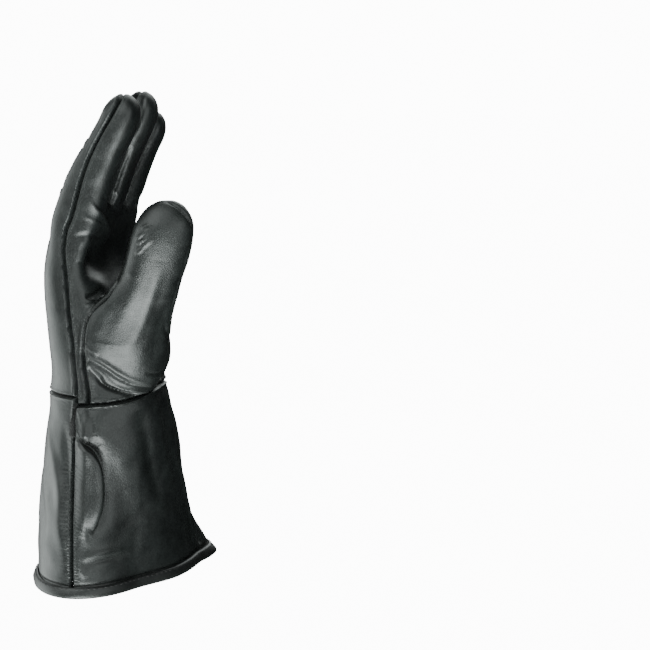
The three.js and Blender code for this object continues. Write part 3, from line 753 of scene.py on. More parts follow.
# height, width on the left and on the right of the line, points
STROKES = [
    # folds that run from the index finger into the palm
    (1.7, 0.8, 2.8, [(11, -54, 238), (13.2, -53.3, 234.7), (15, -50.8, 230.5), (15.9, -47.8, 227.1),
        (15.2, -37.3, 220.9), (14.5, -27.2, 215), (12.9, -21.1, 210.7), (12.3, -22.6, 204.3)]),
    (0.6, 0.8, 1.8, [(7, -55.3, 226.6), (12, -52.8, 224.6), (14.7, -49.3, 222.3), (15.1, -43.4, 219.3),
        (14.8, -34.8, 215.9)]),
    (-1.2, 1.6, 2.4, [(2.6, -56.2, 212.7), (5.4, -55.3, 213.6), (9.1, -53.7, 214.4),
        (12.8, -49.7, 214.1), (13.7, -41.5, 212.6), (13.3, -30.8, 208.9)]),
    # seams on the far fingers' fronts, and the webs between the fingers
    (-1.6, 0.9, 0.9, [(33, -20.7, 293.6), (33.6, -25.5, 289.5), (33.8, -27, 284.8),
        (31.9, -28.1, 277.9), (28.2, -28.7, 271)]),
    (-1.8, 1, 1, [(30.9, 2.9, 278), (30.7, -2.2, 273.1), (28.6, -3.9, 267.6), (25.5, -5.3, 262),
        (22.9, -5.8, 256.9), (20, -6.5, 251.3), (16.8, -7.1, 245.1)]),
    (-2.2, 1.8, 1.8, [(26.6, -28.3, 264), (22.7, -28.5, 255.7), (18.9, -28.9, 246.4),
        (15.6, -29.2, 236.9), (14.2, -30.5, 228.8)]),
    (0.9, 0.8, 0.8, [(20.7, -42.8, 242), (16.4, -28.2, 236.9), (17.5, -24.2, 233.6),
        (16.1, -25.4, 230.1), (14.7, -26.5, 227.3)]),
    # soft unevenness along the index finger
    (0.15, 4, 4, [(22.2, -53.4, 269.3), (24.6, -53, 275), (28.3, -52.6, 279.6)]),
    (-0.2, 3.5, 3.5, [(17.1, -53.9, 255), (20.9, -52.6, 257.8), (24.6, -51, 260.1)]),
    (0.15, 3.5, 3.5, [(15, -53.8, 247.5), (18.8, -52.5, 249.8), (22, -50, 251.9)]),
    (-0.2, 3.5, 3.5, [(13, -53.9, 240.5), (16.7, -52.5, 242.2), (19.7, -49.4, 243.8)]),
    # the thumb's ball: a valley, the ridge beside it, a flat on the right
    (-1.5, 7, 8, [(38, -57.5, 194), (33, -57.7, 183), (27.5, -57.2, 171.4), (24.5, -56.5, 164.2),
        (22, -55, 152)]),
    (1, 3.5, 4.5, [(57.5, -55.5, 201.6), (52.4, -53.3, 187.3), (47, -50.4, 175), (41.3, -48.3, 162.7),
        (35.1, -49.2, 152.5), (29.9, -50.3, 147)]),
    (-1.2, 6, 6, [(55.9, -42.5, 177.8), (49.7, -38, 162.1), (45, -36.8, 148.1), (40.8, -36.5, 137.1)]),
    # wrinkles where the palm meets the thumb
    (0.8, 0.8, 1.2, [(7.8, -54, 174.3), (9.7, -52.8, 173.9), (11.6, -50.2, 173.7), (14.8, -51.5, 174.9)]),
    (0.6, 0.8, 0.8, [(8.7, -53.2, 176.6), (10.6, -50.8, 176), (12.1, -48.5, 176.7)]),
    (-1.8, 1.6, 1.6, [(8.6, -53, 178.3), (10.8, -49.7, 178.5), (12.4, -45.3, 179.7),
        (13.1, -40.3, 181.4)]),
    # fine wrinkles on the thumb
    (1, 0.75, 1.2, [(46.4, -59.6, 208.4), (49.1, -60, 210.9), (51.5, -59.8, 212.7), (54.4, -59.1, 215.6)]),
    (1, 0.75, 1.2, [(45.2, -59.7, 211.2), (47.8, -59.8, 213.1), (51, -59.9, 215.5), (52.7, -59.4, 217.8)]),
    (0.95, 0.75, 1.1, [(44.3, -59, 213.9), (47.1, -59.5, 216.4), (49.6, -59.5, 218.2),
        (52.2, -59.5, 220.6)]),
    (0.95, 0.75, 1.1, [(43.7, -59.3, 205.9), (46.4, -59.6, 207.8), (48.4, -59.8, 209.1)]),
    (0.75, 0.9, 1.1, [(47.6, -59.2, 220.4), (50.6, -58.9, 222.2), (54.1, -58.2, 223.4)]),
    (-0.9, 0.85, 0.85, [(45.8, -59.6, 209.5), (48.5, -60, 211.7), (51, -59.9, 213.8)]),
    (-0.9, 0.85, 0.85, [(45.2, -59.7, 212.6), (47.8, -59.7, 214.5), (50.3, -59.7, 216.6)]),
    # the seam along the thumb's far edge
    (-2.2, 0.9, 0.9, [(57.9, -47.7, 234.9), (63.9, -47.3, 232.8), (68.2, -46, 228.9),
        (70.7, -43.4, 223.6), (70.8, -41.1, 216.4), (69.7, -43.2, 209)]),
    (-1, 0.9, 0.9, [(70.3, -42.4, 213), (69.2, -44.2, 207), (66, -43.3, 198.7), (59.3, -38.9, 182.7),
        (51.3, -31.4, 162.9)]),
    # creases that run down to the wrist
    (1.5, 1.8, 0.8, [(9.2, -53.6, 139.6), (12.1, -52.7, 136.8), (15.9, -50.7, 133.8),
        (19.4, -48.3, 129.4), (23.3, -44.8, 125.8), (27.4, -41.2, 123.1), (31.2, -37.5, 121.8),
        (35.7, -27.8, 119.6)]),
    (-2, 1.3, 1.3, [(9.4, -53.2, 136.5), (13.5, -51.8, 132), (18.4, -48.8, 127.7), (22.9, -45.1, 123.8),
        (27.1, -40.7, 120.9), (31, -36, 119.8)]),
    (-1.4, 1, 1, [(9.6, -54.2, 142.6), (15, -53.1, 139.4), (20.5, -50.2, 135.2), (25.1, -46.6, 130.7),
        (30.3, -41.6, 126.6), (35.8, -33.3, 123.7), (38, -29, 122.6)]),
    (1.1, 1.8, 0.9, [(10, -54.8, 145.6), (15, -54.5, 142.8), (21, -51.5, 138.5), (26, -47.5, 134),
        (31.5, -42, 129.5), (36, -35, 126.8)]),
    (-0.9, 1.2, 1.2, [(38, -38, 133.6), (39.2, -36, 132.8), (41.3, -30.9, 131.4), (41.7, -22.4, 132.2),
        (41, -18, 133.4)]),
    # short sharp wrinkles over the wrist
    (0.8, 0.8, 1.3, [(9.5, -56.5, 150), (13, -56, 148), (17, -55, 145)]),
    (0.8, 0.7, 1.2, [(12, -54, 135), (15, -52.2, 131), (17, -50.5, 127.5)]),
    (0.9, 0.7, 1.2, [(17.5, -50, 131), (21, -47.6, 127), (24, -45, 124)]),
    (0.8, 0.7, 1.2, [(22, -49, 133), (26, -46, 129.5), (30, -42, 126.5), (33, -38, 125)]),
    (-0.9, 0.8, 0.8, [(10, -54, 137.5), (14, -52.5, 134), (18, -50, 130.5), (22, -47, 127)]),
    (-0.8, 0.8, 0.8, [(20, -52, 136.5), (25, -48.5, 132), (30, -43.5, 128)]),
    (-2.2, 1.8, 1.8, [(50, -35, 162), (49.3, -30.7, 156.8), (46, -20, 150), (40, -6, 146), (31, 11, 144)]),
]
points, normals = get_points(hand.data)
p, q, z = hand_coordinates(points)
on_palm_side = normals @ in_hand(1.0, 0.0, 0.0) > -0.3
KNUCKLES = 205       # height of the knuckles
KNUCKLE_REACH = 8.5  # a knuckle crease reaches this far to both sides of its finger's middle
# height of a fold, its share of the way from the knuckles to the fingertip
KNUCKLE_CREASES = [(-0.7, 0.34), (0.5, 0.37), (-0.6, 0.40), (-0.5, 0.66), (0.4, 0.69), (-0.5, 0.72)]
# height of a fold, z, start and end across the back
WRIST_CREASES = [
    (-0.8, 137, -26, 10), (0.6, 134.5, -22, 12), (-0.7, 131, -12, 22), (0.5, 128.5, -8, 20),
    (-0.6, 141, -2, 24),
]
# z of a hollow between two tendons, and how far from the middle it lies there
TENDON_HOLLOW = [(214, 1), (194, 0.9), (172, 0.8)]


def on_back(at_q, at_z):
    """The skin's point on the back of the hand at q and z."""
    return points[np.argmin((q - at_q) ** 2 + (z - at_z) ** 2 + 1e6 * on_palm_side)]


# strokes on the back: knuckle creases, hollows between the tendons, wrinkles over the wrist
back_strokes = []
for name, middle, tip, _, _ in FINGERS:
    for height, share in KNUCKLE_CREASES:
        at = KNUCKLES + share * (tip - KNUCKLES)
        line = [(-KNUCKLE_REACH, -1), (0, 1.2), (KNUCKLE_REACH, -1)]
        back_strokes.append((height, 1.3, 1.3, [on_back(middle + across, at + up) for across, up in line]))
    if name != "index":
        gap = middle - 11.5
        line = [on_back(gap * share, at) for at, share in TENDON_HOLLOW]
        back_strokes.append((-1.5, 4.5, 4.5, line))
for height, at, start, end in WRIST_CREASES:
    line = [on_back(start + (end - start) * share, at + 2 * math.sin(6 * share + at))
            for share in (0, 0.35, 0.7, 1)]
    back_strokes.append((height, 1.4, 1.8, line))
sculpt(hand, back_strokes)

# broad soft swells, flatter on the fingers, and fine ones over them
points, normals = get_points(hand.data)
swell = (0.4 - 0.3 * ease(points[:, 2], 215, 235)) * unevenness(points, 34, 3)
swell = swell + 0.05 * unevenness(points, 10, 4)
set_points(hand.data, points + normals * swell[:, None])
made = len(back_strokes) + sculpt(hand, STROKES, HOLLOWS)
print(made, "folds, creases and hollows in the hand")

# %% [markdown]
# ## Cutting the panels
#
# A glove is sewn from panels: a back, a palm, a thumb, and strips between the fingers called
# fourchettes. Each seam is written as a rule that is above zero on one side and below zero on
# the other. Wherever the rule changes sign, the faces are split, so that the seam runs
# through the mesh as one clean line. Blender's bisect tool does this for a flat plane; seams
# curve, so the splits are made here face by face.

# %% The seams' rules
# z, x of the side seam on the thumb's side
SIDE_SEAM = [
    (-20, 2), (60, 0.5), (120, 1), (145, 0.6), (173, -1.2), (188, -1.8), (206, -3.3), (217, -1.7),
    (225, 1.8), (247, 8.4), (260, 13.5), (273, 20.5), (285, 27.8), (300, 34),
]
# z, p: the front of the thumb seam, seen from the thumb's side
THUMB_SEAM = [
    (90, 1), (114, 1.2), (125, 0.7), (138, -0.8), (150, -0.5), (161, 1), (168.5, 4), (174, 9),
    (179, 15), (187, 20), (200, 23), (250, 24),
]
# z, q: how far the thumb's leather reaches over the palm
THUMB_REACH = [
    (90, -13), (142, -13), (154, -14.5), (164, -18), (173, -23.5), (181, -28), (190, -27), (205, -15),
    (250, -15),
]
# degrees round the wrist, height of the wrist seam on the palm's side
WRIST_SEAM = [
    (262, 113.4), (282, 114.4), (304, 115.6), (318, 116.8), (335, 119), (360, 120.3), (372, 120.8),
    (410, 119.5), (460, 118),
]
SEAM_BEHIND_MIDDLE = 1.6  # on the fingers, the side seam lies just behind the middle line
ULNAR_SHIFT = 10          # on the little finger's side, the side seam lies this much further back
THUMB_SEAM_TOP = 245
STRIP_FOOT, STRIP_TOP = 215, 6  # a fourchette begins here and ends this far under the lower tip
STRIP_HALF, STRIP_TAPER = 7.2, 5.4  # its half width at the foot, and what it loses to the top


def side_rule(points):
    """Above zero in front of the side seams."""
    p, q, z = hand_coordinates(points)
    shift = -ULNAR_SHIFT * np.clip((points[:, 1] + 56) / 88, 0, 1) * ease(z, 90, 150)
    low = points[:, 0] - curve(SIDE_SEAM, 1, z) - shift
    inner = 1 - ease(q, -54, -48)  # the index finger's outer side keeps the photograph's line
    high = p - finger_middle(q, z) + SEAM_BEHIND_MIDDLE
    high = high * (1 - inner) + low * inner
    up = ease(z, 222, 245)
    return low * (1 - up) + high * up


def thumb_rule(points):
    """Above zero inside the thumb's panel."""
    p, q, z = hand_coordinates(points)
    return np.minimum.reduce([p - curve(THUMB_SEAM, 1, z), curve(THUMB_REACH, 1, z) - q, THUMB_SEAM_TOP - z])


def fourchette_rule(points, gap):
    """Above zero inside the strip between two fingers."""
    p, q, z = hand_coordinates(points)
    first, second = FINGERS[gap], FINGERS[gap + 1]
    top = min(first[2], second[2]) - STRIP_TOP
    half = STRIP_HALF - STRIP_TAPER * np.clip((z - 236) / (top - 236), 0, 1) ** 1.6
    across = half - abs(p - finger_middle(q, z) + 1.5)
    return np.minimum.reduce([across, z - STRIP_FOOT, top - z, q - first[1] - 1, second[1] - 1 - q])


def wrist_rule(points):
    """Above zero over the wrist seam of the palm's side."""
    degrees = np.degrees(np.arctan2(points[:, 1] + 13, points[:, 0] - 4)) % 360
    degrees = np.where(degrees < 180, degrees + 360, degrees)
    return points[:, 2] - curve(WRIST_SEAM, 1, degrees)


print("seam tables:", [len(rows) for rows in (SIDE_SEAM, THUMB_SEAM, THUMB_REACH, WRIST_SEAM)], "rows")

# %% Splitting the faces along a rule
def mesh_points(mesh):
    return np.array([v.co[:] for v in mesh.verts]) / MM


def split_along(mesh, rule, where=lambda points: np.ones(len(points), bool)):
    """Splits each face that the line rule = 0 crosses, where that is allowed."""
    mesh.verts.ensure_lookup_table()
    mesh.edges.ensure_lookup_table()
    mesh.verts.index_update()
    points = mesh_points(mesh)
    values = rule(points)
    values[abs(values) < 0.12 * VOXEL] = 0  # a line this near a point runs through it
    allowed = where(points)
    ends = np.array([(e.verts[0].index, e.verts[1].index) for e in mesh.edges])
    a, b = values[ends[:, 0]], values[ends[:, 1]]
    crossing = np.where((a * b < 0) & allowed[ends[:, 0]] & allowed[ends[:, 1]])[0]
    on_line = {mesh.verts[i] for i in np.where((values == 0) & allowed)[0]}
    for edge, share in [(mesh.edges[i], a[i] / (a[i] - b[i])) for i in crossing]:
        _, vertex = bmesh.utils.edge_split(edge, edge.verts[0], share)
        on_line.add(vertex)
    faces = {face for vertex in on_line for face in vertex.link_faces}
    splits = 0
    for face in faces:
        corners = [v for v in face.verts if v in on_line]
        if len(corners) == 2 and not any(
                corners[1] in edge.verts for edge in corners[0].link_edges if face in edge.link_faces):
            bmesh.utils.face_split(face, corners[0], corners[1])
            splits += 1
    return splits


def face_middles(mesh):
    return np.array([f.calc_center_median()[:] for f in mesh.faces]) / MM


PANELS = ["hand_back", "hand_palm", "thumb", "fourchette_index_middle", "fourchette_middle_ring",
          "fourchette_ring_little"]
BACK, PALM_SIDE, THUMB_SIDE, FIRST_STRIP, BELOW = 0, 1, 2, 3, 6

skin = bmesh.new()
skin.from_mesh(hand.data)
splits = split_along(skin, thumb_rule)
for gap in range(3):
    splits += split_along(skin, lambda points, gap=gap: fourchette_rule(points, gap),
                          lambda points: points[:, 2] > KNUCKLES)


def off_strips(points):
    """Away from the fourchettes and the thumb, where the side seam has to be cut."""
    inside = np.maximum.reduce([fourchette_rule(points, gap) for gap in range(3)])
    return (inside < 1.5 * VOXEL) & (thumb_rule(points) < 1.5 * VOXEL)


splits += split_along(skin, side_rule, off_strips)
splits += split_along(skin, lambda points: points[:, 2] - CUFF_TOP, lambda points: side_rule(points) < 2)
splits += split_along(skin, wrist_rule, lambda points: side_rule(points) > -2)
print("seams cut through", splits, "faces")

# %% [markdown]
# ## Parting the panels
#
# Each face now lies on one side of every seam, so its middle says which panel it belongs to.
# The panels are told apart in that way and each becomes an object of its own.

# %% One object for each panel
middles = face_middles(skin)
panel_of = np.where(side_rule(middles) > 0, PALM_SIDE, BACK)
panel_of[thumb_rule(middles) > 0] = THUMB_SIDE
for gap in range(3):
    panel_of[fourchette_rule(middles, gap) > 0] = FIRST_STRIP + gap
below = np.where(panel_of == BACK, middles[:, 2] < CUFF_TOP, wrist_rule(middles) < 0)
panel_of[below] = BELOW


def largest_island(mesh):
    """Deletes every face that isn't joined to the largest patch of faces."""
    seen, islands = set(), []
    for start in mesh.faces:
        if start in seen:
            continue
        island, queue = [], [start]
        seen.add(start)
        while queue:
            face = queue.pop()
            island.append(face)
            for edge in face.edges:
                for other in edge.link_faces:
                    if other not in seen:
                        seen.add(other)
                        queue.append(other)
        islands.append(island)
    islands.sort(key=len)
    stray = [face for island in islands[:-1] for face in island]
    bmesh.ops.delete(mesh, geom=stray, context="FACES")
    return len(stray)


pieces, inwards = {}, {}
skin.normal_update()
for number, name in enumerate(PANELS):
    panel = skin.copy()
    panel.faces.ensure_lookup_table()
    others = [panel.faces[i] for i in np.where(panel_of != number)[0]]
    bmesh.ops.delete(panel, geom=others, context="FACES")
    stray = largest_island(panel)
    inwards[name] = -np.array([v.normal[:] for v in panel.verts])
    data = bpy.data.meshes.new(name + "_leather")
    panel.to_mesh(data)
    panel.free()
    piece = bpy.data.objects.new(name + "_leather", data)
    bpy.context.scene.collection.objects.link(piece)
    pieces[name] = piece
    print(name, len(data.polygons), "faces,", stray, "strays removed")
skin.free()
bpy.data.objects.remove(hand)

# %% [markdown]
# ## The cuff's panels
#
# A cuff panel is cut flat and then bent into the flared cone, so each starts as a flat grid.
# One direction of the grid runs up the cuff and the other runs from seam to seam. Beside the
# side seam the palm panel has a deep fold: the leather rises to an edge, turns over it and
# goes back under. The grid is finest there, and its lines follow the fold's edge.

# %% Cuff panels from flat grids
# z, degrees of the fold's edge, height of the fold
FOLD = [
    (36, 278.5, 0), (41, 280, 0.9), (45, 281.5, 2.2), (50, 282.7, 3.7), (56.8, 283.8, 4.5),
    (65.8, 284.4, 4.6), (75.9, 283.8, 4.4), (80.7, 282.6, 4.2), (85, 280.2, 3.8), (87.9, 277.8, 3.4),
    (91.5, 272.8, 2.8), (94.1, 269, 1.8), (97, 264, 0),
]
FOLD_HEIGHT = 4.6  # where the fold is this high, it has its full shape
# how far from the fold's edge, how far the leather is pushed along, how far out
FOLD_SHAPE = [
    (-17, 0, 0), (-12, 0, 0.2), (-8, 0.1, 0.9), (-5, 0.5, 2.3), (-2.5, 1.2, 3.7), (-1, 2.1, 4.4),
    (0, 2.9, 4.1), (0.8, 3.2, 3.2), (1.6, 2.6, 1.9), (2.3, 1.2, 0.1), (3.2, -0.4, -2.5), (4.4, -0.8, -3.7),
    (6, -0.5, -3.4), (9, 0, -2.2), (14, 0, -1.1), (19, 0, -0.4), (24, 0, 0),
]
CUFF_FOOT = 1.8    # the panels begin here, inside the binding
TUCK = 0.6         # how far the cuff's upper edge reaches past the hand's edge in the wrist seam
FINE_DEGREES = 14  # the grid is finest over these degrees behind the fold's edge
SEAM_DEGREES = np.linspace(200, 520, 641)
RADIAL_GUESS, ULNAR_GUESS = 268, 450  # degrees at which the side seams are looked for
CUFF_MIDDLE = Vector((3, -10, 0)) * MM

# puckers beside the side seams: from one to the next, how far they reach, heights
PUCKER_STEP, PUCKER_REACH = 2.4, 6
PALM_PUCKER, BACK_PUCKER = 0.24, 0.34
HEM_GROOVE, GROOVE_WIDTH, GROOVE_DEPTH = 7.4, 1.5, 0.9  # the groove over the binding
# heights where the broad swells, the roll beside the fold and the strokes set in and end
SWELL_Z, ROLL_Z, STROKE_Z = ((6, 22), (108, 118)), ((28, 54), (104, 115)), ((6, 12), (112, 118))


def seam_direction(z, guess):
    """The direction in which the cuff's outline meets the side seam."""
    near = SEAM_DEGREES[abs(SEAM_DEGREES - guess) < 30]
    rule = side_rule(cuff_outline(z, near))
    i = int(np.argmax(np.diff(np.sign(rule)) != 0))
    return near[i] + (near[i + 1] - near[i]) * rule[i] / (rule[i] - rule[i + 1])


# z, directions of the side seam on the thumb's side and on the little finger's side
side_seams = [(z, seam_direction(z, RADIAL_GUESS), seam_direction(z, ULNAR_GUESS))
              for z in np.linspace(0, 121, 45)]


def wave(z, step, seed):
    """An uneven row of small puckers."""
    rng = np.random.default_rng(seed)
    total = 0
    for _ in range(4):
        total = total + np.sin(2 * np.pi * z / (step * rng.uniform(0.75, 1.5)) + rng.uniform(0, 6.3))
    return total / 4


def cuff_panel(name, columns, rows, spread):
    """A flat grid, and the height and direction of each of its points on the cuff."""
    deselect()
    bpy.ops.mesh.primitive_grid_add(x_subdivisions=columns - 1, y_subdivisions=rows - 1, size=0.1)
    piece = bpy.context.object
    piece.name = piece.data.name = name
    share = np.linspace(0, 1, rows)[:, None] * np.ones(columns)
    z = CUFF_FOOT + share * (CUFF_TOP + TUCK - CUFF_FOOT)
    if spread == palm_spread:
        for _ in range(3):  # the wrist seam's height and the direction depend on each other
            z = CUFF_FOOT + share * (curve(WRIST_SEAM, 1, spread(z)) + TUCK - CUFF_FOOT)
    return piece, z, spread(z)


def faces_out(piece):
    """Turns an open panel's faces so that they look away from the glove's inside."""
    mesh = bmesh.new()
    mesh.from_mesh(piece.data)
    total = 0.0
    for face in mesh.faces:
        outward = face.calc_center_median() - CUFF_MIDDLE
        outward.z = 0
        total += face.normal.dot(outward.normalized())
    if total < 0:
        bmesh.ops.reverse_faces(mesh, faces=mesh.faces)
    mesh.to_mesh(piece.data)
    mesh.free()


def palm_spread(z):
    """The palm panel's columns: an eighth up to the fold's edge, a fifth just behind it."""
    start, end = curve(side_seams, 1, z), curve(side_seams, 2, z)
    edge = curve(FOLD, 1, z)
    n = np.arange(z.shape[1])
    first, second = z.shape[1] // 8, z.shape[1] // 3
    a = start + (edge - start) * np.clip(n / first, 0, 1)
    b = edge + FINE_DEGREES * np.clip((n - first) / (second - first), 0, 1)
    rest = np.clip((n - second) / (z.shape[1] - 1 - second), 0, 1)
    c = edge + FINE_DEGREES + (end - edge - FINE_DEGREES) * rest
    return np.where(n <= first, a, np.where(n <= second, b, c))


def back_spread(z):
    """The back panel's columns, evenly spaced."""
    start, end = curve(side_seams, 2, z) - 360, curve(side_seams, 1, z)
    return start + (end - start) * np.linspace(0, 1, z.shape[1])


def bend(piece, z, degrees, with_fold):
    """Puts the grid's points on the cuff, with the fold, the swells and the puckers.

    It gives back the directions to the inside, and where strokes may move the points.
    """
    along, out, per_degree = cuff_directions(z, degrees)
    points = cuff_outline(z, degrees)
    from_first = abs(degrees - curve(side_seams, 1, z))
    from_second = abs((degrees - curve(side_seams, 2, z) + 180) % 360 - 180)
    from_seam = np.minimum(from_first, from_second) * per_degree
    strength = np.exp(-(from_seam / PUCKER_REACH) ** 2) * ease(z, 6, 14) * (1 - 0.6 * ease(z, 95, 110))
    strength = strength * ease(from_seam, 0.2, 2)
    pucker = PALM_PUCKER if with_fold else BACK_PUCKER
    lift = pucker * wave(z + 0.5 * from_seam * with_fold, PUCKER_STEP, 5) * strength
    swell = unevenness(points * (1, 1, 0.7), 46, 8) * 1.1
    swell = swell + unevenness(points * (1, 1, 0.8), 17, 9) * 0.22
    lift = lift + swell * band(z, *SWELL_Z)
    lift = lift - GROOVE_DEPTH * np.exp(-(((z - HEM_GROOVE) / GROOVE_WIDTH) ** 2))
    slide = 0 * lift
    if with_fold:
        roll = 3.2 * ease(from_seam, 0, 8) - 1.6 * ease(from_seam, 7, 12)
        lift = lift + roll * band(z, *ROLL_Z) * (1 - ease(degrees, 270, 300))
        distance = (degrees - curve(FOLD, 1, z)) * per_degree
        height = curve(FOLD, 2, z) / FOLD_HEIGHT * ease(from_seam, -0.5, 4)
        lift = lift + height * curve(FOLD_SHAPE, 2, distance)
        slide = height * curve(FOLD_SHAPE, 1, distance)
    points = points + out * lift[..., None] + along * slide[..., None]
    set_points(piece.data, points.reshape(-1, 3))
    calm = ease(from_seam, 0, 3) * band(z, *STROKE_Z)
    return -out.reshape(-1, 3), calm.ravel()


# height, width on the left and on the right of the line, points
CUFF_STROKES = [
    # folds over the deep one
    (1.9, 1.5, 2.2, [(0.5, -53.9, 111.9), (2.2, -54.9, 106.8), (4.3, -55.4, 101.1), (6.9, -55.5, 96),
        (9.3, -55.3, 92)]),
    (1.9, 2.2, 2.2, [(2.4, -54.5, 112.8), (4.4, -54.5, 109.8), (6.6, -54.4, 106.3), (9.1, -54.4, 101.7)]),
    (-0.8, 2, 4, [(7.6, -53.8, 113), (10, -53.5, 109.6), (11.9, -53.5, 103.8), (13.1, -53.6, 96.7),
        (16, -53, 91)]),
    # creases at its lower end
    (-0.7, 2, 2, [(6, -60.8, 44.4), (9.7, -60.4, 43.5), (12.7, -58.9, 41), (13.8, -56, 36.1)]),
    (-0.5, 1.6, 1.6, [(8.4, -60.6, 42.2), (10.4, -59.5, 38.5), (11.5, -58.8, 34)]),
    # broad swells of the palm side
    (1.5, 2, 2.4, [(6.5, -54, 114), (6.9, -54.3, 109), (7, -54.6, 103)]),
    (-0.7, 5, 6, [(19.7, -50.3, 87), (23, -47.2, 72.8), (25.7, -42.6, 56.9), (27.6, -36.6, 40.5)]),
    (1.8, 5, 7, [(35.5, -23.6, 112.8), (37.1, -16.8, 94.6), (37.4, -9.7, 74.8), (37.3, -4.6, 55.1)]),
    (-1.4, 4, 5, [(32.8, -34.1, 109.9), (35, -30.1, 91.2), (35.7, -24, 71.7), (35.8, -18, 52)]),
    # the ridge before the flaring corner, and the valley behind it
    (2.2, 4, 3, [(36.8, 3, 74), (36, 9.6, 64.2), (33.2, 23.5, 43.7), (33, 29, 34.8), (34.5, 31.8, 22.7),
        (37.7, 28.7, 9.1)]),
    (-3.8, 3, 5, [(31.7, 24.2, 60), (30.7, 30, 49), (30.2, 35.6, 39.3), (30.4, 42.3, 29.3),
        (34.4, 40.9, 18.5), (37.5, 41.4, 8)]),
    # low folds over the hem
    (1.1, 2.5, 2.5, [(4.7, -61.8, 23.4), (11.9, -58, 25.6), (18.9, -51.1, 26.9), (24.6, -41.5, 26.8)]),
    (-1, 2, 2, [(5.8, -61.6, 19.8), (13.3, -57, 21.8), (20.3, -48.9, 22.8), (26.2, -37, 23.3)]),
    (0.9, 2, 2, [(4.6, -61.1, 35.3), (5.2, -61.4, 26.3), (5.9, -61.9, 17.5), (9.2, -60.7, 12.6)]),
    # the long swell and its valleys on the back
    (1.5, 3.5, 5, [(-24, -44, 104), (-19.3, -48.8, 90.6), (-13, -54.2, 76.6), (-8.4, -57.8, 62.2),
        (-7.1, -59.8, 45.9), (-4.4, -61.6, 32.1), (-1.8, -63.5, 14)]),
    (-1.2, 2.6, 3, [(-6, -54, 104), (-5, -55.5, 93.2), (-3.5, -57.4, 78.8), (-2.5, -59, 64.3),
        (-2, -60.3, 49.7), (-1.5, -61.6, 34.9)]),
    (-1, 5, 5, [(-31, -33, 84), (-30.7, -39.2, 63.1), (-24.8, -48.1, 47.3), (-19.4, -54.9, 28)]),
]

rows, columns = ((216, 212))
for name, spread in (("cuff_palm", palm_spread), ("cuff_back", back_spread)):
    piece, z, degrees = cuff_panel(name + "_leather", columns, rows, spread)
    inwards[name], calm = bend(piece, z, degrees, name == "cuff_palm")
    faces_out(piece)
    sculpt(piece, CUFF_STROKES, calm=calm)
    pieces[name] = piece
print("cuff panels:", [len(pieces[n].data.polygons) for n in ("cuff_palm", "cuff_back")], "faces")

# %% [markdown]
# ## Turned edges and the leather's thickness
#
# Where two panels are sewn, both edges turn inwards, and the seam shows as a dark groove with
# a soft lip on each side. Points near a panel's edge sink straight inwards. The directions
# were kept from before the panels were parted, so that both sides of a seam sink alike and
# stay closed. Solidify then gives every panel its thickness on the inside.

# %% Edges and thickness
LEATHER = 1.0
LIP = 0.3        # how far the leather rises beside a seam
WRIST_LIP = 0.25  # and how much further beside the wrist seam, between these heights
WRIST_LIP_Z = ((106, 112), (122, 128))
# depth and width of a turned edge, and how strongly it puckers
CUFF_EDGES, HAND_EDGES = (2.7, 0.85, 1), (2.7, 1.0, 0.25)


def turn_edges(piece, inward, depth, width, pucker):
    """Sinks the leather beside a panel's edges, and notes where it puckers."""
    points, normals = get_points(piece.data)
    loops = np.empty(len(piece.data.loops), int)
    piece.data.loops.foreach_get("edge_index", loops)
    ends = np.empty(len(piece.data.edges) * 2, int)
    piece.data.edges.foreach_get("vertices", ends)
    ends = ends.reshape(-1, 2)
    open_edges = np.bincount(loops, minlength=len(ends)) == 1
    border = np.zeros(len(points), bool)
    border[ends[open_edges].ravel()] = True
    tree = KDTree(int(border.sum()))
    for n, i in enumerate(np.where(border)[0]):
        tree.insert(points[i], n)
    tree.balance()
    near = np.array([tree.find(p)[2] for p in points])
    attribute = piece.data.attributes.new("pucker", "FLOAT", "POINT")
    attribute.data.foreach_set("value", pucker * (1 - ease(near, 0.5, 6)) * ease(near, 0, 1.2))
    lip = LIP + WRIST_LIP * band(points[:, 2], *WRIST_LIP_Z)
    rise = lip * np.exp(-((near - 1.9 * width) / (0.7 * width)) ** 2)
    sink = depth * np.exp(-(near / width) ** 2) - rise
    set_points(piece.data, points + inward * sink[:, None])
    return int(border.sum())


for name, piece in pieces.items():
    edges = CUFF_EDGES if name.startswith("cuff") else HAND_EDGES
    count = turn_edges(piece, inwards[name], *edges)
    print(name, "edge points:", count)

# %% [markdown]
# ## The binding of the hem
#
# A strip of leather is folded round the cuff's lower edge and sewn through. Its section is a
# plump U. One section is placed at each step round the outline, and bridges join them, which
# is the same method as for the fingers, turned on its side.

# %% The binding
# inset from the cuff's face, height: once round the U, outside first
BINDING = [
    (-0.1, 7.0), (-0.75, 6.9), (-1.2, 6.2), (-1.45, 5.0), (-1.55, 3.6), (-1.45, 2.2), (-1.0, 1.0),
    (-0.1, 0.2), (1.0, 0.0), (2.1, 0.3), (3.0, 1.1), (3.4, 2.4), (3.45, 4.2), (3.2, 5.8), (2.6, 6.6),
    (2.0, 6.4), (1.9, 4.6), (1.9, 2.4), (1.0, 1.7), (0.0, 2.2), (-0.15, 4.6),
]


FLARE_FROM = 1.5    # below this height the binding goes straight down
SEAM_HEIGHT = 3.0   # the side seams part the binding where they are at this height
BINDING_GAP = 0.02  # degrees


def binding(name, start, end, steps):
    """A strip with the binding's section, from one direction to another."""
    inset, height = np.array(BINDING).T
    sections = []
    for degrees in np.linspace(start, end, steps):
        section = cuff_point(np.maximum(height, FLARE_FROM), degrees + 0 * height, inset)
        section[:, 2] = height
        sections.append(section)
    return loft(name, sections)


